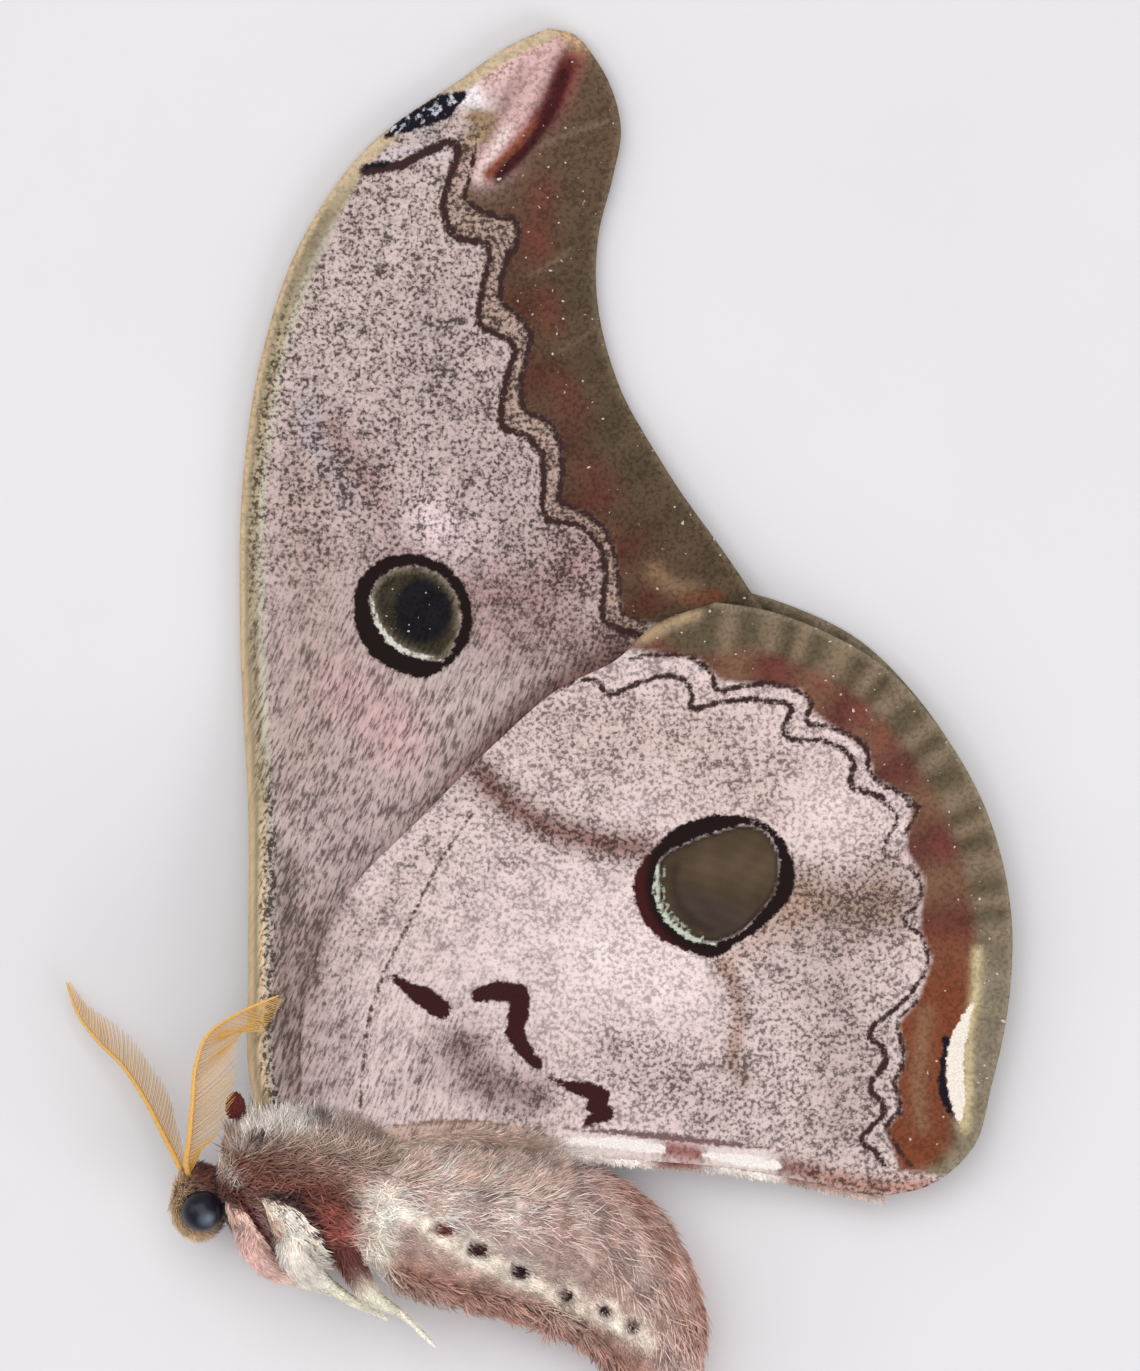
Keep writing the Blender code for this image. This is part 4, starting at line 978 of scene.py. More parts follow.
def body_frame(share, turn):
    """Where a hair roots in the skin, which way is out, and which way lies back along the body."""
    root = body_place(share, turn)
    back = body_place(share + ALONG_STEP, turn) - body_place(share - ALONG_STEP, turn)
    sideways = body_place(share, turn + ROUND_STEP) - body_place(share, turn - ROUND_STEP)
    out = unit(np.cross(sideways, back))
    outward = np.sum(out * (root - body_place(share, turn, -1.0)), axis=1)
    return root, out * np.where(outward < 0, -1.0, 1.0)[:, None], unit(back)


# %% A helper that rolls a grid into a closed tube
def rolled(name, place, around, along):
    """A grid rolled up: place gives each point's spot from its share along and its turn."""
    tube = new_piece(name, bpy.ops.mesh.primitive_grid_add,
                     x_subdivisions=around, y_subdivisions=along, size=1.0)
    grid = read_places(tube.data) * MM + 0.5
    write_places(tube.data, place(grid[:, 1], grid[:, 0] * 2 * math.pi))
    bpy.ops.object.mode_set(mode="EDIT")
    bpy.ops.mesh.select_all(action="SELECT")
    bpy.ops.mesh.remove_doubles(threshold=0.000002)
    bpy.ops.mesh.normals_make_consistent(inside=False)
    bpy.ops.object.mode_set(mode="OBJECT")
    return tube


# %% Head, legs and body as rolled tubes
HEAD_MIDDLE = np.array((*placed((-25.9, -37.4)), 6.1))
HEAD_HALF = np.array((2.15, 2.9, 2.6)) - 0.35
LEGS = {
    "leg_fore": [(-21.6, -38.0, 8.2, 0.9), (-22.0, -40.4, 8.9, 0.95), (-20.6, -42.3, 8.7, 0.85),
                 (-18.4, -43.5, 7.8, 0.5), (-15.6, -44.5, 7.1, 0.35), (-12.9, -45.8, 6.9, 0.27)],
    "leg_mid": [(-18.8, -39.0, 9.2, 1.1), (-18.7, -41.4, 10.2, 1.15), (-17.0, -43.2, 9.6, 1.0),
                (-14.8, -44.5, 8.7, 0.5), (-11.6, -46.3, 8.2, 0.28)],
    "leg_hind": [(-15.0, -39.5, 9.0, 1.0), (-14.2, -42.2, 9.7, 1.0), (-12.9, -44.3, 9.6, 0.8),
                 (-10.4, -46.0, 8.8, 0.42), (-7.9, -48.4, 7.0, 0.27)],
}
LEG_FUR_DEPTH, THINNEST_LEG = 0.22, 0.12
MIDDLE_PLANE = 6.0                   # the two sides of the body mirror in this height
END_SHARE, DEEP_INSIDE = 0.012, 9.0  # the length of the body's closed ends, and a depth past its middle


def head_place(share, turn):
    """The head as an egg with its poles towards the two eyes."""
    tilt = math.pi * share
    ball = np.column_stack([np.sin(tilt) * np.cos(turn), np.sin(tilt) * np.sin(turn), np.cos(tilt)])
    return HEAD_MIDDLE + ball * HEAD_HALF


def leg_line(route, mirrored):
    """Middle line and radius of one leg."""
    line = spline(np.array(route) + SHIFT[:4], 0.3)
    return line * (1, 1, -1, 1) + (0, 0, 2 * MIDDLE_PLANE, 0) if mirrored else line


def tube_place(line, share, turn, thick):
    """Places round a middle line, at a thickness for each."""
    way = unit(at_shares(share, np.gradient(line[:, :3], axis=0)))
    side = unit(np.cross(way, (0.0, 0.0, 1.0)))
    around = side * np.cos(turn)[:, None] + np.cross(side, way) * np.sin(turn)[:, None]
    return at_shares(share, line[:, :3]) + around * thick[:, None]


def rounded(share, sharpness):
    """1 along a tube, and down to 0 in a round at its two ends."""
    return np.sqrt(np.clip(1 - (np.abs(share - 0.5) * 2) ** sharpness, 0.0, 1.0))


def leg_place(line, share, turn, height=0.0):
    """Places over a leg's skin."""
    radius = at_shares(share, line)[:, 3]
    thick = np.maximum(radius - LEG_FUR_DEPTH, THINNEST_LEG) * rounded(share, 12) + height
    return tube_place(line, share, turn, thick)


def body_tube_place(share, turn):
    """The body's skin, closed in a round at both ends."""
    end = np.clip(np.minimum(share, 1 - share) / END_SHARE, 0.0, 1.0)[:, None]
    middle = body_place(share, turn, -DEEP_INSIDE)
    return middle + (body_place(share, turn) - middle) * end


# %% Roll the tubes
leg_lines = {name + side: leg_line(route, side == "_right")
             for name, route in LEGS.items() for side in ("_left", "_right")}
tubes = [rolled("skin", body_tube_place, 96, 150), rolled("head_form", head_place, 48, 32)]
for name, line in leg_lines.items():
    leg = rolled(name + "_form", lambda share, turn, line=line: leg_place(line, share, turn), 20, 60)
    tubes.append(leg)
print("tubes:", len(tubes), "legs end at mm:",
      [np.round(line[-1, :3], 1).tolist() for line in leg_lines.values()])

# %% [markdown]
# Joined as they are, the tubes would show where they cross. A voxel remesh melts them into one
# surface, and a little smoothing takes the steps out of it.

# %% One skin
SKIN_VOXEL = 0.17
bpy.ops.object.select_all(action="DESELECT")
for tube in tubes:
    tube.select_set(True)
skin = tubes[0]
bpy.context.view_layer.objects.active = skin
bpy.ops.object.join()
apply_modifier(skin, "REMESH", mode="VOXEL", voxel_size=SKIN_VOXEL * MM)
apply_modifier(skin, "SMOOTH", iterations=4)
bpy.ops.object.shade_smooth()
print("skin faces:", len(skin.data.polygons))

# %% [markdown]
# The body's markings: brown and wine-red fur on the thorax, a cream band behind it, a mottled
# grey-pink abdomen with a white line of spiracle spots along its side, and a brown belly.
# They are strokes again, picked on the side that shows, and the hidden side mirrors them.

# %% Tones of the body
BODY_GROUND = (0.50, 0.37, 0.33)
BODY_STROKES = [
    # the abdomen and the bands between its segments
    ([(395, 1150), (450, 1170), (520, 1190)], 36, 0.9, (0.72, 0.56, 0.50)),
    ([(640, 1190), (690, 1260), (700, 1330)], 32, 0.9, (0.35, 0.145, 0.09)),
    ([(560, 1230), (610, 1260), (650, 1300)], 26, 0.6, (0.42, 0.26, 0.22)),
    ([(455, 1160), (462, 1190), (458, 1215)], 5, 0.7, (0.80, 0.68, 0.62)),
    ([(505, 1170), (520, 1200), (520, 1235)], 5, 0.7, (0.80, 0.68, 0.62)),
    ([(560, 1180), (585, 1215), (590, 1260)], 5, 0.7, (0.76, 0.62, 0.56)),
    ([(610, 1190), (640, 1230), (645, 1285)], 5, 0.6, (0.70, 0.55, 0.49)),
    ([(662, 1215), (686, 1265), (690, 1320)], 5, 0.5, (0.60, 0.45, 0.40)),
    ([(480, 1160), (490, 1195), (488, 1225)], 8, 0.5, (0.36, 0.27, 0.25)),
    ([(533, 1175), (548, 1210), (552, 1245)], 8, 0.5, (0.34, 0.25, 0.23)),
    ([(588, 1190), (612, 1225), (616, 1270)], 8, 0.5, (0.32, 0.20, 0.18)),
    ([(640, 1205), (664, 1250), (668, 1300)], 8, 0.5, (0.28, 0.16, 0.14)),
    ([(392, 1268), (440, 1284), (500, 1308), (560, 1334), (640, 1372)], 22, 1.0, (0.53, 0.31, 0.25)),
    # the white line along its side, with the ringed spiracle spots
    ([(404, 1208), (440, 1231), (472, 1252), (505, 1267), (527, 1277), (566, 1300), (605, 1315),
      (648, 1340)], 7, 1.6, (0.98, 0.84, 0.70)),
    ([(447, 1229)], 13, 2.0, (0.99, 0.89, 0.78)),
    ([(480, 1249)], 13, 2.0, (0.99, 0.89, 0.78)),
    ([(521, 1270)], 12, 2.0, (0.99, 0.89, 0.78)),
    ([(568, 1294)], 11, 2.0, (0.97, 0.86, 0.74)),
    ([(606, 1310)], 10, 2.0, (0.97, 0.86, 0.74)),
    ([(634, 1326)], 10, 1.6, (0.94, 0.82, 0.70)),
    ([(442, 1227), (449, 1227)], 6, 2.2, (0.13, 0.028, 0.026)),
    ([(475, 1247), (484, 1248)], 6.5, 2.2, (0.045, 0.008, 0.010)),
    ([(518, 1269), (524, 1270)], 6, 2.2, (0.040, 0.008, 0.010)),
    ([(567, 1293)], 6, 2.2, (0.045, 0.010, 0.010)),
    ([(605, 1309)], 5.5, 2.2, (0.045, 0.010, 0.010)),
    ([(633, 1325)], 5.5, 2.2, (0.045, 0.010, 0.010)),
    ([(393, 1185), (399, 1192)], 8, 0.8, (0.22, 0.16, 0.155)),
    ([(420, 1160), (424, 1172)], 8, 0.6, (0.32, 0.21, 0.20)),
    ([(540, 1156), (560, 1162)], 8, 0.7, (0.16, 0.12, 0.12)),
    # the thorax, its streaks and the cream band behind it
    ([(200, 1165), (260, 1170), (320, 1190), (342, 1230), (335, 1275)], 42, 1.1, (0.26, 0.108, 0.080)),
    ([(300, 1190), (345, 1200)], 15, 0.8, (0.16, 0.050, 0.036)),
    ([(338, 1222), (350, 1246), (350, 1272)], 16, 1.2, (0.44, 0.12, 0.09)),
    ([(236, 1132), (290, 1138), (345, 1150)], 13, 0.9, (0.46, 0.32, 0.255)),
    ([(280, 1165), (330, 1170)], 9, 0.5, (0.33, 0.21, 0.165)),
    ([(220, 1150), (226, 1166), (238, 1182)], 5, 1.6, (0.95, 0.86, 0.76)),
    ([(240, 1192), (258, 1218), (272, 1244)], 6, 1.2, (0.12, 0.024, 0.019)),
    ([(272, 1193), (300, 1197)], 5, 1.4, (0.03, 0.022, 0.026)),
    ([(300, 1197), (318, 1222), (336, 1256)], 6, 1.5, (0.045, 0.012, 0.012)),
    ([(252, 1126), (266, 1130)], 5, 0.9, (0.05, 0.035, 0.03)),
    ([(384, 1200), (383, 1222), (377, 1250), (373, 1290)], 15, 2.2, (1.0, 0.90, 0.80)),
    ([(360, 1186), (372, 1206)], 5, 0.8, (0.80, 0.68, 0.58)),
    # the face and the collar
    ([(172, 1165), (176, 1200), (180, 1235), (210, 1242)], 15, 1.2, (0.76, 0.56, 0.35)),
    ([(205, 1166), (222, 1182), (238, 1196)], 12, 1.0, (0.17, 0.055, 0.040)),
    ([(203, 1211)], 21, 1.2, (0.12, 0.075, 0.045)),
]
LEG_TONES = {"leg_fore": (0.86, 0.60, 0.54), "leg_mid": (0.95, 0.87, 0.78), "leg_hind": (0.19, 0.06, 0.05)}
FOOT_TONE = (0.93, 0.87, 0.72)
MOTTLE_LOW, MOTTLE_RANGE, MOTTLE_SIZE = 0.76, 0.48, 1.2


def body_tone(places):
    """Painted tone of skin or fur by where it lies in plan."""
    mottle = MOTTLE_LOW + MOTTLE_RANGE * flecks(places, MOTTLE_SIZE)
    return paint(places, BODY_GROUND, BODY_STROKES) * mottle[:, None]


def leg_tone(name, share):
    start = np.tile(np.array(LEG_TONES[name.rsplit("_", 1)[0]]), (len(share), 1))
    pale_from = 0.22 if "hind" in name else 0.42
    return mixed(start, np.array(FOOT_TONE), beyond(share, pale_from, 0.2))


# %% [markdown]
# Fur is mesh: thousands of thin tapered tufts with their roots sunk in the skin. One helper
# sweeps a small cross-section along many lines at once, and it also makes the rays of the
# feelers. Each tuft gets a tiny patch at its root's place on the unwrapped skin, so its colour
# can be baked from there.

# %% Many tapered sweeps at once
PATCH_HALF, MAP_MARGIN = 0.0015, 0.005                 # of a tuft's patch, and round the skin's map


def swept(name, lines, out, half_widths, half_heights, sides, tone, tip_tone, unwrap):
    """One mesh of many closed tapered shapes: lines is shapes x points x 3, the last point the tip.

    A three-sided one turns a flat side outward, so it catches the light as a lying hair does.
    """
    count, rows = len(lines), lines.shape[1] - 1
    way = np.gradient(lines, axis=1)
    way /= np.maximum(np.linalg.norm(way, axis=2), 1e-9)[:, :, None]
    side = np.cross(way, out[:, None, :])
    side /= np.maximum(np.linalg.norm(side, axis=2), 1e-9)[:, :, None]
    lift = np.cross(side, way)
    angles = np.arange(sides) * 2 * math.pi / sides - math.pi / 2
    ring = (side[:, :rows, None, :] * (np.cos(angles)[:, None] * half_widths[:, :, None, None])
            + lift[:, :rows, None, :] * (np.sin(angles)[:, None] * half_heights[:, :, None, None]))
    body = (lines[:, :rows, None, :] + ring).reshape(count, rows * sides, 3)
    points = np.concatenate([body, lines[:, rows:, :]], axis=1)
    each = rows * sides + 1
    faces = [(0, i, i + 1) for i in range(1, sides - 1)]
    for row in range(rows):
        for i in range(sides):
            a, b = row * sides + i, row * sides + (i + 1) % sides
            if row == rows - 1:
                faces.append((b, a, each - 1))
            else:
                faces += [(b, a, a + sides), (b, a + sides, b + sides)]
    faces = np.array(faces)
    triangles = (faces[None] + (np.arange(count) * each)[:, None, None]).reshape(-1, 3)
    mesh = bpy.data.meshes.new(name)
    mesh.vertices.add(count * each)
    mesh.vertices.foreach_set("co", (points * MM).astype(np.float32).ravel())
    mesh.loops.add(triangles.size)
    mesh.loops.foreach_set("vertex_index", triangles.astype(np.int32).ravel())
    mesh.polygons.add(len(triangles))
    mesh.polygons.foreach_set("loop_start", np.arange(0, triangles.size, 3, dtype=np.int32))
    mesh.update(calc_edges=True)
    mesh.shade_smooth()
    share = np.append(np.repeat(np.arange(rows) / rows, sides), 1.0)[None, :, None]
    tones = tone[:, None, :] * (1 - share) + tip_tone[:, None, :] * share
    store(mesh, "tone", tones.reshape(-1, 3))
    corner = np.append(np.tile(np.cos(angles), rows), 0.0)
    patch = np.stack([np.broadcast_to(corner, (count, each)) * PATCH_HALF,
                      np.broadcast_to((2 * share[0, :, 0] - 1) * PATCH_HALF, (count, each))], axis=2)
    spots = (unwrap[:, None, :] * (1 - 2 * MAP_MARGIN) + MAP_MARGIN + patch).reshape(-1, 2)
    uv_map = mesh.uv_layers.new(name="OFBake")
    uv_map.data.foreach_set("uv", spots[triangles.ravel()].astype(np.float32).ravel())
    piece = bpy.data.objects.new(name, mesh)
    bpy.context.scene.collection.objects.link(piece)
    return piece


# %% [markdown]
# Hair is soft and lets a little light through its tips, but a rough Principled shader with
# some sheen is enough at this size. The tone comes from the tuft, and a fine noise keeps
# neighbours apart.

# %% Fur and skin finishes
def make_coat_finish(name, bumps, roughness):
    material, tree, place = start_finish(name)
    strands = noise(tree, place, 5200, 3.0, 0.7)
    mottle = noise(tree, place, 620, 3.0)
    factor = times_plus(tree, mottle, 1.5, times_plus(tree, strands, 0.8, 0.10))
    return end_finish(material, kept_tone(tree, "tone", factor), times_plus(tree, strands, 0.25, roughness),
                      strands, bumps, 0.06, {"Sheen Weight": 0.08, "Specular IOR Level": 0.15})


fur_finish = make_coat_finish("fur", 0.25, 0.55)
skin_finish = make_coat_finish("skin_and_down", 0.8, 0.7)
SKIN_SHADE = 0.75                    # painted shade: the skin between the tufts is darker than they are
THIGH_STATIONS = 8                   # the start of a leg's line, which keeps the body's tones
LEG_EDGE, LEG_FADE = 1.76, 1.1       # how far a leg's tones reach from its line


def skin_tone(places):
    """The body's tones, with the legs' own tones where the skin is a leg's."""
    tone = body_tone(places)
    for name, line in leg_lines.items():
        gap = np.full(len(places), np.inf)
        share = np.zeros(len(places))
        for index, centre in enumerate(line[THIGH_STATIONS:], THIGH_STATIONS):
            reach = np.linalg.norm(places - centre[:3], axis=1)
            share = np.where(reach < gap, index / (len(line) - 1), share)
            gap = np.minimum(gap, reach)
        tone = mixed(tone, leg_tone(name, share), within(gap, LEG_EDGE, LEG_FADE))
    return tone


store(skin.data, "tone", skin_tone(read_places(skin.data)) * SKIN_SHADE)
finish_piece(skin, skin_finish, "thorax_fur", "head", "thorax", "abdomen", *leg_lines)

# %% [markdown]
# The coat is grown in parts. Thorax hair is long and shaggy, abdomen scales are shorter and lie
# flatter, the belly is ragged, and the face and feet have the shortest hair. Each part is one
# mesh under 200,000 triangles, and one seeded draw keeps every run the same.

# %% A helper that grows tufts
draw = np.random.default_rng(11)
ABOVE_FLOOR = 0.06

SHORT, LONG = (0.0, 0.55), (0.0, 0.42, 0.78)                    # where a tuft's rings sit along it
TAPER = {SHORT: (1.0, 0.8), LONG: (1.0, 1.0, 0.62)}
LENGTHS, LIFTS = (0.7, 1.25), (0.5, 1.4)                        # how tufts differ, times the asked
WIDTHS, SHADES = (0.75, 1.3), (0.72, 1.28)
BENDS = 0.12
FLATTENED = 0.45                     # height of a tuft over its width
FALL_BACK = 0.45                     # share of its rise that a tuft has lost at its tip
# painted shade and light along each tuft: darker at its root among the others, lighter at its tip
ROOT_SHADE, TIP_SHADE = 0.86, 1.16


def grow(name, slot_name, roots, length, width, rise, tone, unwrap, rows=LONG, sway=0.25, sink=0.25):
    """Tufts that leave their roots, bend back along the lie and end in a tip.

    The tone is a rule from places to colours, read at both ends of each tuft, so marks stay clear.
    """
    root, out, lie = roots
    count = len(root)
    across = np.cross(out, lie)
    turn = draw.normal(0.0, sway, count)[:, None]
    lie = unit(lie * np.cos(turn) + across * np.sin(turn))
    reach = (length * draw.uniform(*LENGTHS, count))[:, None]
    lift = (rise * draw.uniform(*LIFTS, count))[:, None]
    bend = draw.normal(0.0, BENDS, count)[:, None]
    lines = []
    for t in (*rows, 1.0):
        lines.append(root - out * sink * (1 - t) ** 2 + lie * reach * t
                     + out * reach * lift * (t - FALL_BACK * t * t) + across * reach * bend * t * t)
    lines = np.stack(lines, axis=1)
    lines[:, :, 2] = np.maximum(lines[:, :, 2], ABOVE_FLOOR)
    half = (width / 2 * draw.uniform(*WIDTHS, count))[:, None] * np.array(TAPER[rows])
    shade = draw.uniform(*SHADES, count)[:, None]
    piece = swept(name, lines, out, half, half * FLATTENED, 3, tone(lines[:, 0]) * shade * ROOT_SHADE,
                  tone(lines[:, -1]) * shade * TIP_SHADE, unwrap)
    finish_piece(piece, fur_finish, slot_name)


def on_body(count, share_low, share_high, turn_low, turn_high):
    """Random roots on a stretch of the body, with their place on the unwrapped skin."""
    share = draw.uniform(share_low, share_high, count)
    turn = draw.uniform(turn_low, turn_high, count)
    unwrap = np.column_stack([(turn % (2 * math.pi)) / (2 * math.pi), share.clip(0, 1)])
    return share, turn, unwrap


# %% Grow the coat of thorax and abdomen
FULL_TURN = 2 * math.pi


def grow_on_body(name, slot_name, count, shares, turns, length, width, rise, tone=body_tone, **more):
    """A piece of coat on a stretch of the body."""
    share, turn, unwrap = on_body(count, *shares, *turns)
    grow(name, slot_name, body_frame(share, turn), length, width, rise, tone, unwrap, **more)


def pale_hair(places):
    return np.minimum(body_tone(places) * 1.25 + 0.16, 0.95)


grow_on_body("coat_thorax", "thorax_fur", 11000, (-0.01, 0.315), (0.0, FULL_TURN), 1.5, 0.17, 0.42,
             sway=0.45)
for side, turns, hair_turns in (("left", (0.0, math.pi), (0.1, 1.6)),
                                ("right", (math.pi, FULL_TURN), (FULL_TURN - 1.6, FULL_TURN - 0.1))):
    grow_on_body("coat_abdomen_" + side, "abdomen_fur", 17000, (0.285, 0.998), turns, 0.8, 0.17, 0.26,
                 rows=SHORT, sway=0.3)
    grow_on_body("coat_abdomen_hair_" + side, "abdomen_fur", 2200, (0.29, 0.97), hair_turns, 2.0, 0.10, 0.22,
                 tone=pale_hair, sway=0.35)
grow_on_body("coat_belly", "abdomen_fur", 3400, (0.33, 0.97), (math.radians(146), math.radians(212)),
             1.9, 0.22, 0.75, sway=0.6)

# %% [markdown]
# The thighs lie folded against the side of the thorax, so only their hair shows. We pick the
# roots that fall inside an outline in plan, and lay pale tufts along the thigh there.

# %% Hair of the folded thighs
THIGHS = {
    "fore": ([(228, 1199), (246, 1203), (266, 1236), (276, 1262), (254, 1254), (236, 1232)],
             (0.57, -0.82, 0.0), (0.92, 0.64, 0.54)),
    "mid": ([(262, 1192), (293, 1200), (306, 1214), (325, 1252), (322, 1268), (294, 1254), (272, 1220)],
            (0.65, -0.76, 0.0), (0.98, 0.88, 0.76)),
}
THIGH_STROKES = [([(268, 1212), (282, 1238), (300, 1258)], 7, 0.8, (0.72, 0.46, 0.31))]
THIGH_DRAWS, THIGH_TUFTS = 60000, 1500
THIGH_LIFT = 0.35                    # the hair stands on the thigh, a little over the skin


def lying(out, way):
    """The given way, laid flat on the skin at each root."""
    return unit(way - out * (out @ np.array(way))[:, None])


for name, (outline, way, tone) in THIGHS.items():
    share, turn, unwrap = on_body(THIGH_DRAWS, 0.0, 0.3, 0.2, math.pi - 0.1)
    root, out, _ = body_frame(share, turn)
    picked = np.flatnonzero(inside(root[:, :2], from_photo(outline)))[:THIGH_TUFTS]
    root, out = root[picked], out[picked]
    grow("coat_thigh_" + name, "leg_fur", (root + out * THIGH_LIFT, out, lying(out, way)), 1.1, 0.16, 0.22,
         lambda places, tone=tone: paint(places, tone, THIGH_STROKES), unwrap[picked], sway=0.15)

# %% Grow the coat of head and legs
HEAD_TUFTS, LEG_TUFTS = 7000, 1500
HEAD_HAIR_WAY = (1.0, -0.25, 0.0)
FOOT_HAIR, UP_LEG_HAIR = 0.35, 0.75  # length on the feet, and what it gains up the leg
share = np.arccos(draw.uniform(-0.97, 0.97, HEAD_TUFTS)) / math.pi
turn = draw.uniform(0.0, FULL_TURN, HEAD_TUFTS)
root = head_place(share, turn)
out = unit((root - HEAD_MIDDLE) / HEAD_HALF**2)
grow("coat_head", "head_fur", (root, out, lying(out, HEAD_HAIR_WAY)), 0.85, 0.11, 0.8, body_tone,
     np.column_stack([turn / FULL_TURN, share]), rows=SHORT, sway=0.5, sink=0.12)

for name, line in leg_lines.items():
    share = draw.uniform(0.04, 0.99, LEG_TUFTS) ** 1.15
    turn = draw.uniform(0.0, FULL_TURN, LEG_TUFTS)
    root = leg_place(line, share, turn)
    out = unit(leg_place(line, share, turn, 1.0) - root)
    down = unit(leg_place(line, share + 0.01, turn) - leg_place(line, share - 0.01, turn))
    length = FOOT_HAIR + UP_LEG_HAIR * within(share, 0.62, 0.35)
    tone = leg_tone(name, share)
    grow("coat_" + name, "leg_fur", (root, out, down), length, 0.12, 0.30, lambda places, tone=tone: tone,
         np.column_stack([turn / FULL_TURN, share]), rows=SHORT, sway=0.2, sink=0.1)

# %% [markdown]
# Long pale hair spreads from the body over the wing bases, a dark red scale tuft covers the
# joint of the forewing, and a fringe runs along the hindwing's inner edge, longer where the
# wing folds down against the body.

# %% Hair over the wing bases, and the fringe
DOWN_STROKES = [
    ([(252, 1112), (290, 1106), (326, 1108)], 17, 1.5, (0.96, 0.89, 0.83)),
    ([(330, 1122), (384, 1140)], 14, 0.8, (0.62, 0.48, 0.42)),
    ([(322, 1104), (330, 1112)], 9, 1.0, (0.20, 0.16, 0.15)),
    ([(258, 1128), (268, 1131)], 6, 1.3, (0.05, 0.035, 0.03)),
    ([(228, 1130), (232, 1142)], 6, 0.8, (0.80, 0.70, 0.62)),
]


def down_tone(places):
    """White down at the joint, grey-brown below it, with dark flecks."""
    base = paint(places, (0.44, 0.31, 0.25), DOWN_STROKES)
    white = beyond(base[:, 0], 0.5, 0.3)
    return mixed(base, base * 0.4, (0.8 - 0.6 * white) * beyond(flecks(places, 0.62) * 3.2, 2.1, 1.0))


def red_tone(places):
    return np.tile((0.14, 0.024, 0.02), (len(places), 1))


def mantle(name, count, turns, length):
    """Hair that fans out from the top of the thorax over a wing base."""
    share, turn, unwrap = on_body(count, 0.04, 0.27, *np.radians(turns))
    root, out, lie = body_frame(share, turn)
    fan = unit(lie * draw.uniform(-0.2, 0.8, count)[:, None] + (0.0, 1.0, 0.0))
    grow(name, "thorax_fur", (root, out, fan), length, 0.15, 0.3, down_tone, unwrap, sway=0.6)


mantle("coat_wing_base_left", 4200, (36, 60), 2.2)
mantle("coat_wing_base_right", 2000, (-60, -36), 2.5)

# %% The red tuft on the wing joint
TUFT_MIDDLE, TUFT_HALF = np.array((*from_photo((237, 1106)), 9.1)), np.array((0.66, 0.92, 0.5))
TUFT_WAY = (-0.05, 1.0, 0.0)
TUFT_HAIRS = 1000
around = unit(draw.normal(0.0, 1.0, (TUFT_HAIRS, 3)))
out = unit(around / TUFT_HALF)
grow("coat_joint_tuft", "thorax_fur", (TUFT_MIDDLE + around * TUFT_HALF, out, lying(out, TUFT_WAY)),
     0.55, 0.18, 0.05, red_tone, draw.uniform(0.1, 0.9, (TUFT_HAIRS, 2)), sway=0.1)

# %% The fringe and the fold of the hindwing
FRINGE_HAIRS, FOLD_HAIRS = 5200, 4600
FRINGE_LENGTH, FRINGE_MORE = 0.55, 1.3      # on the free wing, and what it gains near the body
FRINGE_STROKES = [
    ([(663, 1160), (692, 1162)], 12, 1.0, (0.22, 0.06, 0.05)),
    ([(793, 1176), (850, 1186), (900, 1194)], 12, 1.0, (0.36, 0.18, 0.14)),
    ([(380, 1130), (450, 1128), (540, 1140)], 24, 1.0, (0.62, 0.45, 0.36)),
]


def fringe_tone(places):
    return paint(places, (0.86, 0.77, 0.71), FRINGE_STROKES)


def fold_tone(places):
    return mixed(pale_hair(places), (0.58, 0.42, 0.34), flecks(places, 0.5))


inner_edge = spline(placed(HIND_INNER), 0.05)
picked = inner_edge[draw.integers(0, len(inner_edge), FRINGE_HAIRS)]
picked = picked + draw.normal(0.0, 0.12, picked.shape)
near_body = within(picked[:, 0], 5.0, 6.0)
root = np.column_stack([picked, wing_height(picked, True, True)])
up = np.tile((0.0, 0.0, 1.0), (FRINGE_HAIRS, 1))
outward = unit(np.column_stack([0.55 + 0.6 * near_body, -0.8 + 0.55 * near_body, -0.1 * near_body]))
length = FRINGE_LENGTH + FRINGE_MORE * near_body
grow("fringe_hindwing", "hindwing", (root, up, outward), length, 0.13, 0.12, fringe_tone,
     np.column_stack([(picked[:, 0] + 15) / 45, (picked[:, 1] + 38) / 8]), rows=SHORT, sway=0.35)

share, turn, unwrap = on_body(FOLD_HAIRS, 0.28, 0.60, math.radians(30), math.radians(60))
root, out, lie = body_frame(share, turn)
grow("coat_fold", "abdomen_fur", (root, out, unit(lie + (0.0, 0.75, 0.0))), 2.1, 0.14, 0.3,
     fold_tone, unwrap, sway=0.3)

# %% [markdown]
# The compound eyes are glossy beads. A sphere is cut by the plane of its socket, so that only
# the cap that a real moth shows is left, and its facets are a very fine bump. A pale glare low
# in each eye is a painted reflection in its base colour.

# %% Eyes
EYE_RADIUS = 1.6
EYE_PLAN = placed((-25.6, -38.05))
EYE_SPREAD = 2.1
SOCKET_DEPTH = 0.9
GLARE_SHIFT = np.array((0.42, -0.68))   # painted reflection: a pale glare low in the eye, in its base colour
GLARE_HEIGHT = 3.6                      # over the middle of the head
GLARE_EDGE = (0.00115, 0.0004)          # where the painted glare starts and where it is full, in metres
EYE_FACETS = 26000.0                    # facets to a metre
EYE_BLACK, EYE_GLARE = (0.007, 0.008, 0.016, 1.0), (0.10, 0.125, 0.17, 1.0)


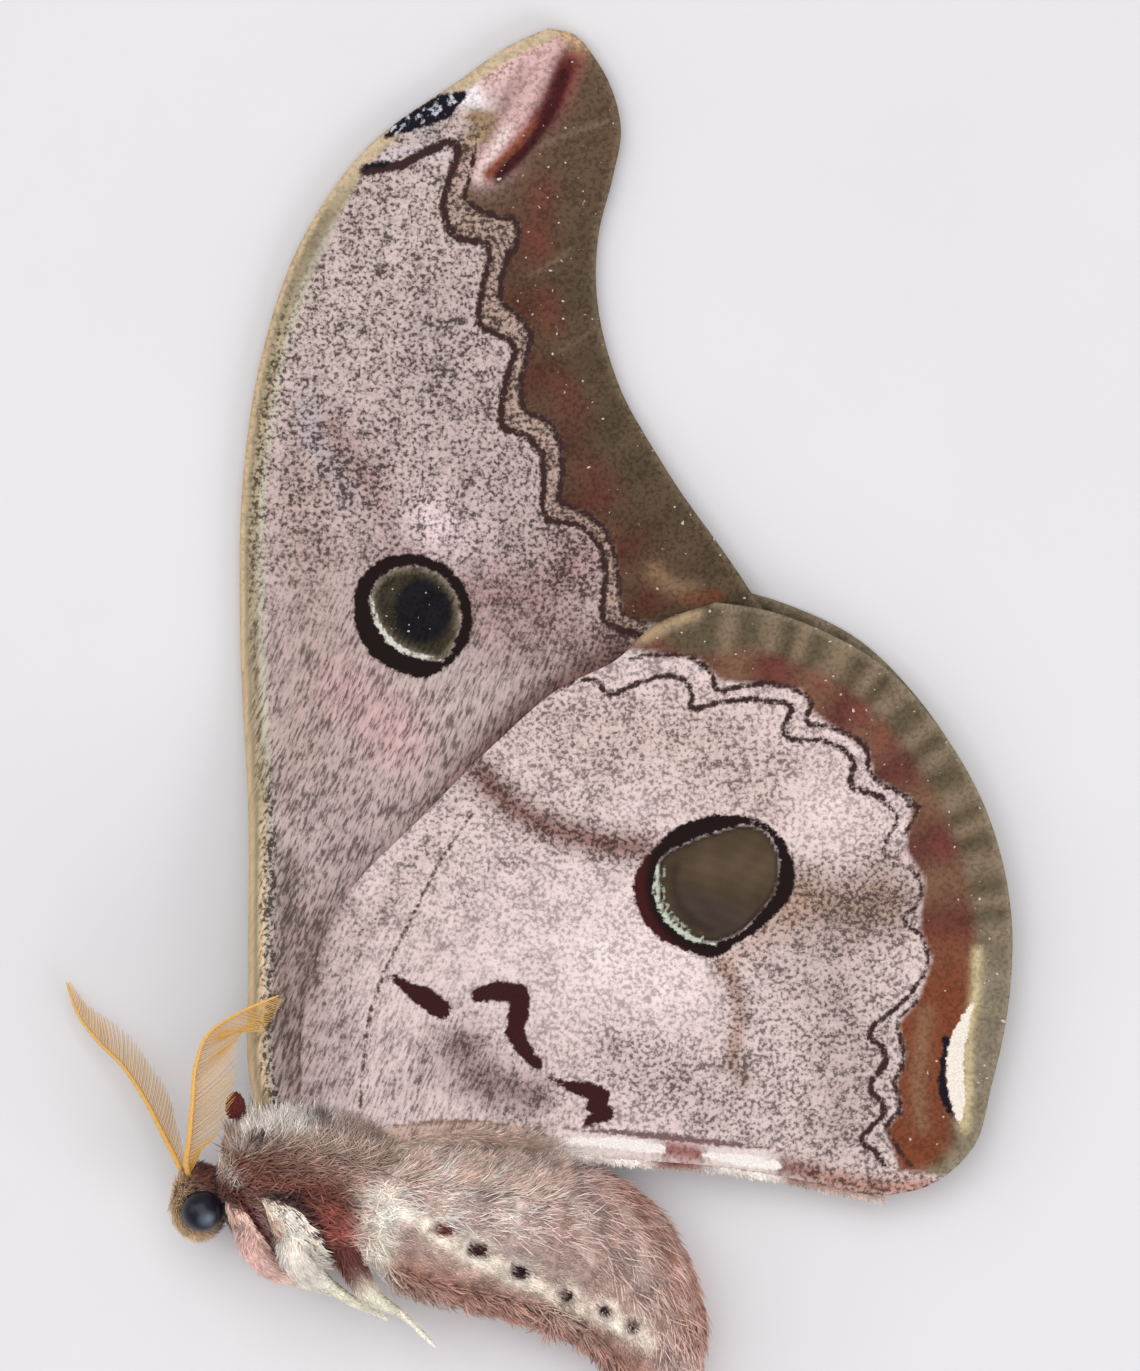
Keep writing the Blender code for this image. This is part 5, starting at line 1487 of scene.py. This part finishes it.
def make_eye_finish():
    material, tree, place = start_finish("compound_eye")
    facets = add(tree, "TexVoronoi", {"Vector": place, "Scale": EYE_FACETS}).outputs["Distance"]
    cloud = noise(tree, place, 900)
    glare_place = (*((EYE_PLAN + GLARE_SHIFT) * MM), (HEAD_MIDDLE[2] + GLARE_HEIGHT) * MM)
    away = add(tree, "VectorMath", {0: place, 1: glare_place}, operation="DISTANCE").outputs["Value"]
    # painted reflection: the eye's colour turns pale blue-grey near a point low in the eye
    glare = step(tree, times_plus(tree, cloud, 0.0004, away), *GLARE_EDGE)
    return end_finish(material, blend(tree, glare, EYE_BLACK, EYE_GLARE),
                      times_plus(tree, cloud, 0.1, 0.3), facets, 0.12, 0.008,
                      {"Specular IOR Level": 0.25, "Coat Weight": 0.2, "Coat Roughness": 0.22})


eye_finish = make_eye_finish()
for side_name, sign in (("left", 1.0), ("right", -1.0)):
    middle = np.array((*EYE_PLAN, HEAD_MIDDLE[2] + sign * EYE_SPREAD))
    eye = new_piece("eye_bead_" + side_name, bpy.ops.mesh.primitive_uv_sphere_add,
                    segments=96, ring_count=64, radius=EYE_RADIUS * MM, location=middle * MM)
    bpy.ops.object.transform_apply(location=True)
    bpy.ops.object.mode_set(mode="EDIT")
    bpy.ops.mesh.select_all(action="SELECT")
    cut = middle - (0.0, 0.0, sign * SOCKET_DEPTH)
    bpy.ops.mesh.bisect(plane_co=cut * MM, plane_no=(0.0, 0.0, sign), clear_inner=True, use_fill=True)
    bpy.ops.object.mode_set(mode="OBJECT")
    bpy.ops.object.shade_smooth_by_angle(angle=math.radians(50))
    finish_piece(eye, eye_finish, "eye", "eye_" + side_name)

# %% [markdown]
# The feelers of a male are doubly feathered: a shaft with two rows of fine rays that lean
# forward and open in a V. The shaft is a rolled tube, and the rays are swept all at once,
# curved and tapered, about two to a millimetre in each row.

# %% Feelers
FEELERS = {
    "antenna_left": [(-26.4, -36.0, 6.9), (-26.8, -34.6, 8.0), (-26.6, -32.8, 9.2), (-26.3, -29.7, 10.2),
                     (-26.0, -26.8, 10.7), (-25.2, -24.7, 10.8), (-23.2, -23.2, 10.5), (-19.7, -21.6, 9.8)],
    "antenna_right": [(-26.9, -35.8, 5.4), (-27.6, -34.3, 4.8), (-28.5, -32.6, 4.1), (-30.1, -29.6, 3.3),
                      (-31.8, -27.1, 2.8), (-33.7, -25.2, 2.4), (-35.2, -23.2, 2.0), (-36.1, -20.7, 1.6)],
}
RAY_PITCH = 0.20
RAYS = {"antenna_left": (4.3, math.radians(20)), "antenna_right": (2.7, math.radians(33))}
RAY_FORWARD = math.radians(38)
SHAFT_RADIUS, SHAFT_TIP = 0.24, 0.09
HORN_TONE = np.array((0.73, 0.42, 0.10))
SHAFT_LIGHTER = 1.15
SHAFT_STEP = 0.3
JOINT_PITCH, JOINT_DEPTH = 0.6, 0.018                  # the shaft's small joints


# %% Finish and shaft of the feelers
def make_horn_finish():
    material, tree, place = start_finish("feeler_horn")
    grain = noise(tree, place, 6000, 3.0)
    return end_finish(material, kept_tone(tree, "tone", times_plus(tree, grain, 0.5, 0.75)),
                      times_plus(tree, grain, 0.2, 0.4), grain, 0.3, 0.02, {})


horn_finish = make_horn_finish()


def shaft_place(line, share, turn):
    joint = JOINT_DEPTH * np.cos(share * 2 * math.pi * len(line) * SHAFT_STEP / JOINT_PITCH)
    thick = (SHAFT_RADIUS + (SHAFT_TIP - SHAFT_RADIUS) * share + joint) * rounded(share, 40)
    return tube_place(line, share, turn, thick)


# %% Make the feelers
RAY_STATIONS = (0.0, 0.25, 0.5, 0.75, 0.92, 1.0)       # along a ray, with its half width at each
RAY_HALVES = np.array((0.052, 0.042, 0.036, 0.030, 0.022))
RAY_CURL = 0.22
BARE_BASE, BARE_TIP = 5, 2           # stations at the shaft's ends that carry no rays
RAY_LENGTHS, RAY_SHADES = (0.94, 1.06), (0.85, 1.15)   # how rays differ, times the asked


def make_feeler(name, route):
    route = np.array(route) + SHIFT[:3]
    line = spline(route, SHAFT_STEP)
    shaft = rolled("shaft_" + name, lambda share, turn: shaft_place(line, share, turn), 12, 160)
    bpy.ops.object.shade_smooth()
    store(shaft.data, "tone", np.tile(HORN_TONE * SHAFT_LIGHTER, (len(shaft.data.vertices), 1)))
    finish_piece(shaft, horn_finish, "antenna", name)
    stations = spline(route, RAY_PITCH)
    forward = unit(np.gradient(stations, axis=0))
    keep = slice(BARE_BASE, len(stations) - BARE_TIP)
    share = np.linspace(0.0, 1.0, len(stations))[keep, None]
    forward, stations = forward[keep], stations[keep]
    lean = np.where(np.arange(len(stations)) % 2 == 0, 1.0, -1.0)[:, None]
    side = unit(np.cross(forward, (0.0, 0.0, 1.0)))
    longest, spread = RAYS[name]
    out = side * math.cos(spread) + np.array((0.0, 0.0, 1.0)) * math.sin(spread) * lean
    length = longest * np.minimum(1.0, 0.25 + share * 3.2) * np.clip((1.05 - share) / 0.42, 0.0, 1.0)
    length = length * draw.uniform(*RAY_LENGTHS, (len(stations), 1))
    reach = out * math.cos(RAY_FORWARD) + forward * math.sin(RAY_FORWARD)
    lines = np.stack([stations + length * (reach * t + forward * RAY_CURL * t * t) for t in RAY_STATIONS],
                     axis=1)
    half = np.tile(RAY_HALVES, (len(lines), 1))
    tone = np.tile(HORN_TONE, (len(lines), 1)) * draw.uniform(*RAY_SHADES, (len(lines), 1))
    unwrap = np.column_stack([(lean[:, 0] + 1.5) / 3.5, share[:, 0]])
    rays = swept("rays_" + name, lines, unit(np.cross(forward, reach)), half, half, 5, tone, tone * 1.1,
                 unwrap)
    finish_piece(rays, horn_finish, "antenna")


for feeler_name, feeler_route in FEELERS.items():
    make_feeler(feeler_name, feeler_route)

# %% [markdown]
# Last comes the setting: a pale floor, soft light from large lamps, and a camera that looks
# straight down from far away with a long lens, as the photo does. A lamp low on one side
# leaves a glint in the eye.

# %% Floor, lamps and camera
def make_floor():
    floor = new_piece("floor", bpy.ops.mesh.primitive_plane_add, size=3.0, location=(0, 0, -0.00005))
    material, tree, place = start_finish("pale_floor")
    tint = blend(tree, noise(tree, place, 40, 3.0), (0.80, 0.79, 0.81, 1.0), (0.84, 0.83, 0.85, 1.0))
    wire(tree, tree.nodes["Principled BSDF"], {"Base Color": tint, "Roughness": 0.7})
    floor.data.materials.append(material)


def make_lamp(name, place, target, size, power):
    light = bpy.data.lights.new(name, "AREA")
    light.size = size
    light.energy = power
    lamp = bpy.data.objects.new(name, light)
    bpy.context.scene.collection.objects.link(lamp)
    lamp.location = place
    way = np.array(target, float) - place
    lamp.rotation_euler = (math.atan2(np.hypot(way[0], way[1]), -way[2]), 0.0,
                           math.atan2(way[0], -way[1]) + math.pi)


PHOTO_CENTRE = from_photo((570.0, 685.5)) * MM
CAMERA_HEIGHT = 1.50
PHOTO_TALL = 1371 * PIXEL * MM
FOCUS_LEVEL = 0.003
make_floor()
make_lamp("sky", (-0.1, 0.15, 0.7), (0, 0, 0), 0.7, 2.75)
make_lamp("window", (0.35, -0.35, 0.30), (0, -0.01, 0), 0.35, 1.1)
make_lamp("fill", (-0.5, 0.1, 0.35), (0, 0, 0), 0.4, 0.5)
world = bpy.data.worlds.new("room")
world.use_nodes = True
sky = world.node_tree.nodes["Background"]
wire(world.node_tree, sky, {"Color": (1.0, 0.98, 1.0, 1.0), "Strength": 0.40})
bpy.context.scene.world = world
bpy.context.scene.view_settings.view_transform = "Standard"

lens = bpy.data.cameras.new("camera")
lens.sensor_width = 36.0
lens.lens = 36.0 * (CAMERA_HEIGHT - FOCUS_LEVEL) / PHOTO_TALL
camera = bpy.data.objects.new("camera", lens)
camera.location = (*PHOTO_CENTRE, CAMERA_HEIGHT)
bpy.context.scene.collection.objects.link(camera)
bpy.context.scene.camera = camera
print("lens mm:", round(lens.lens, 1))
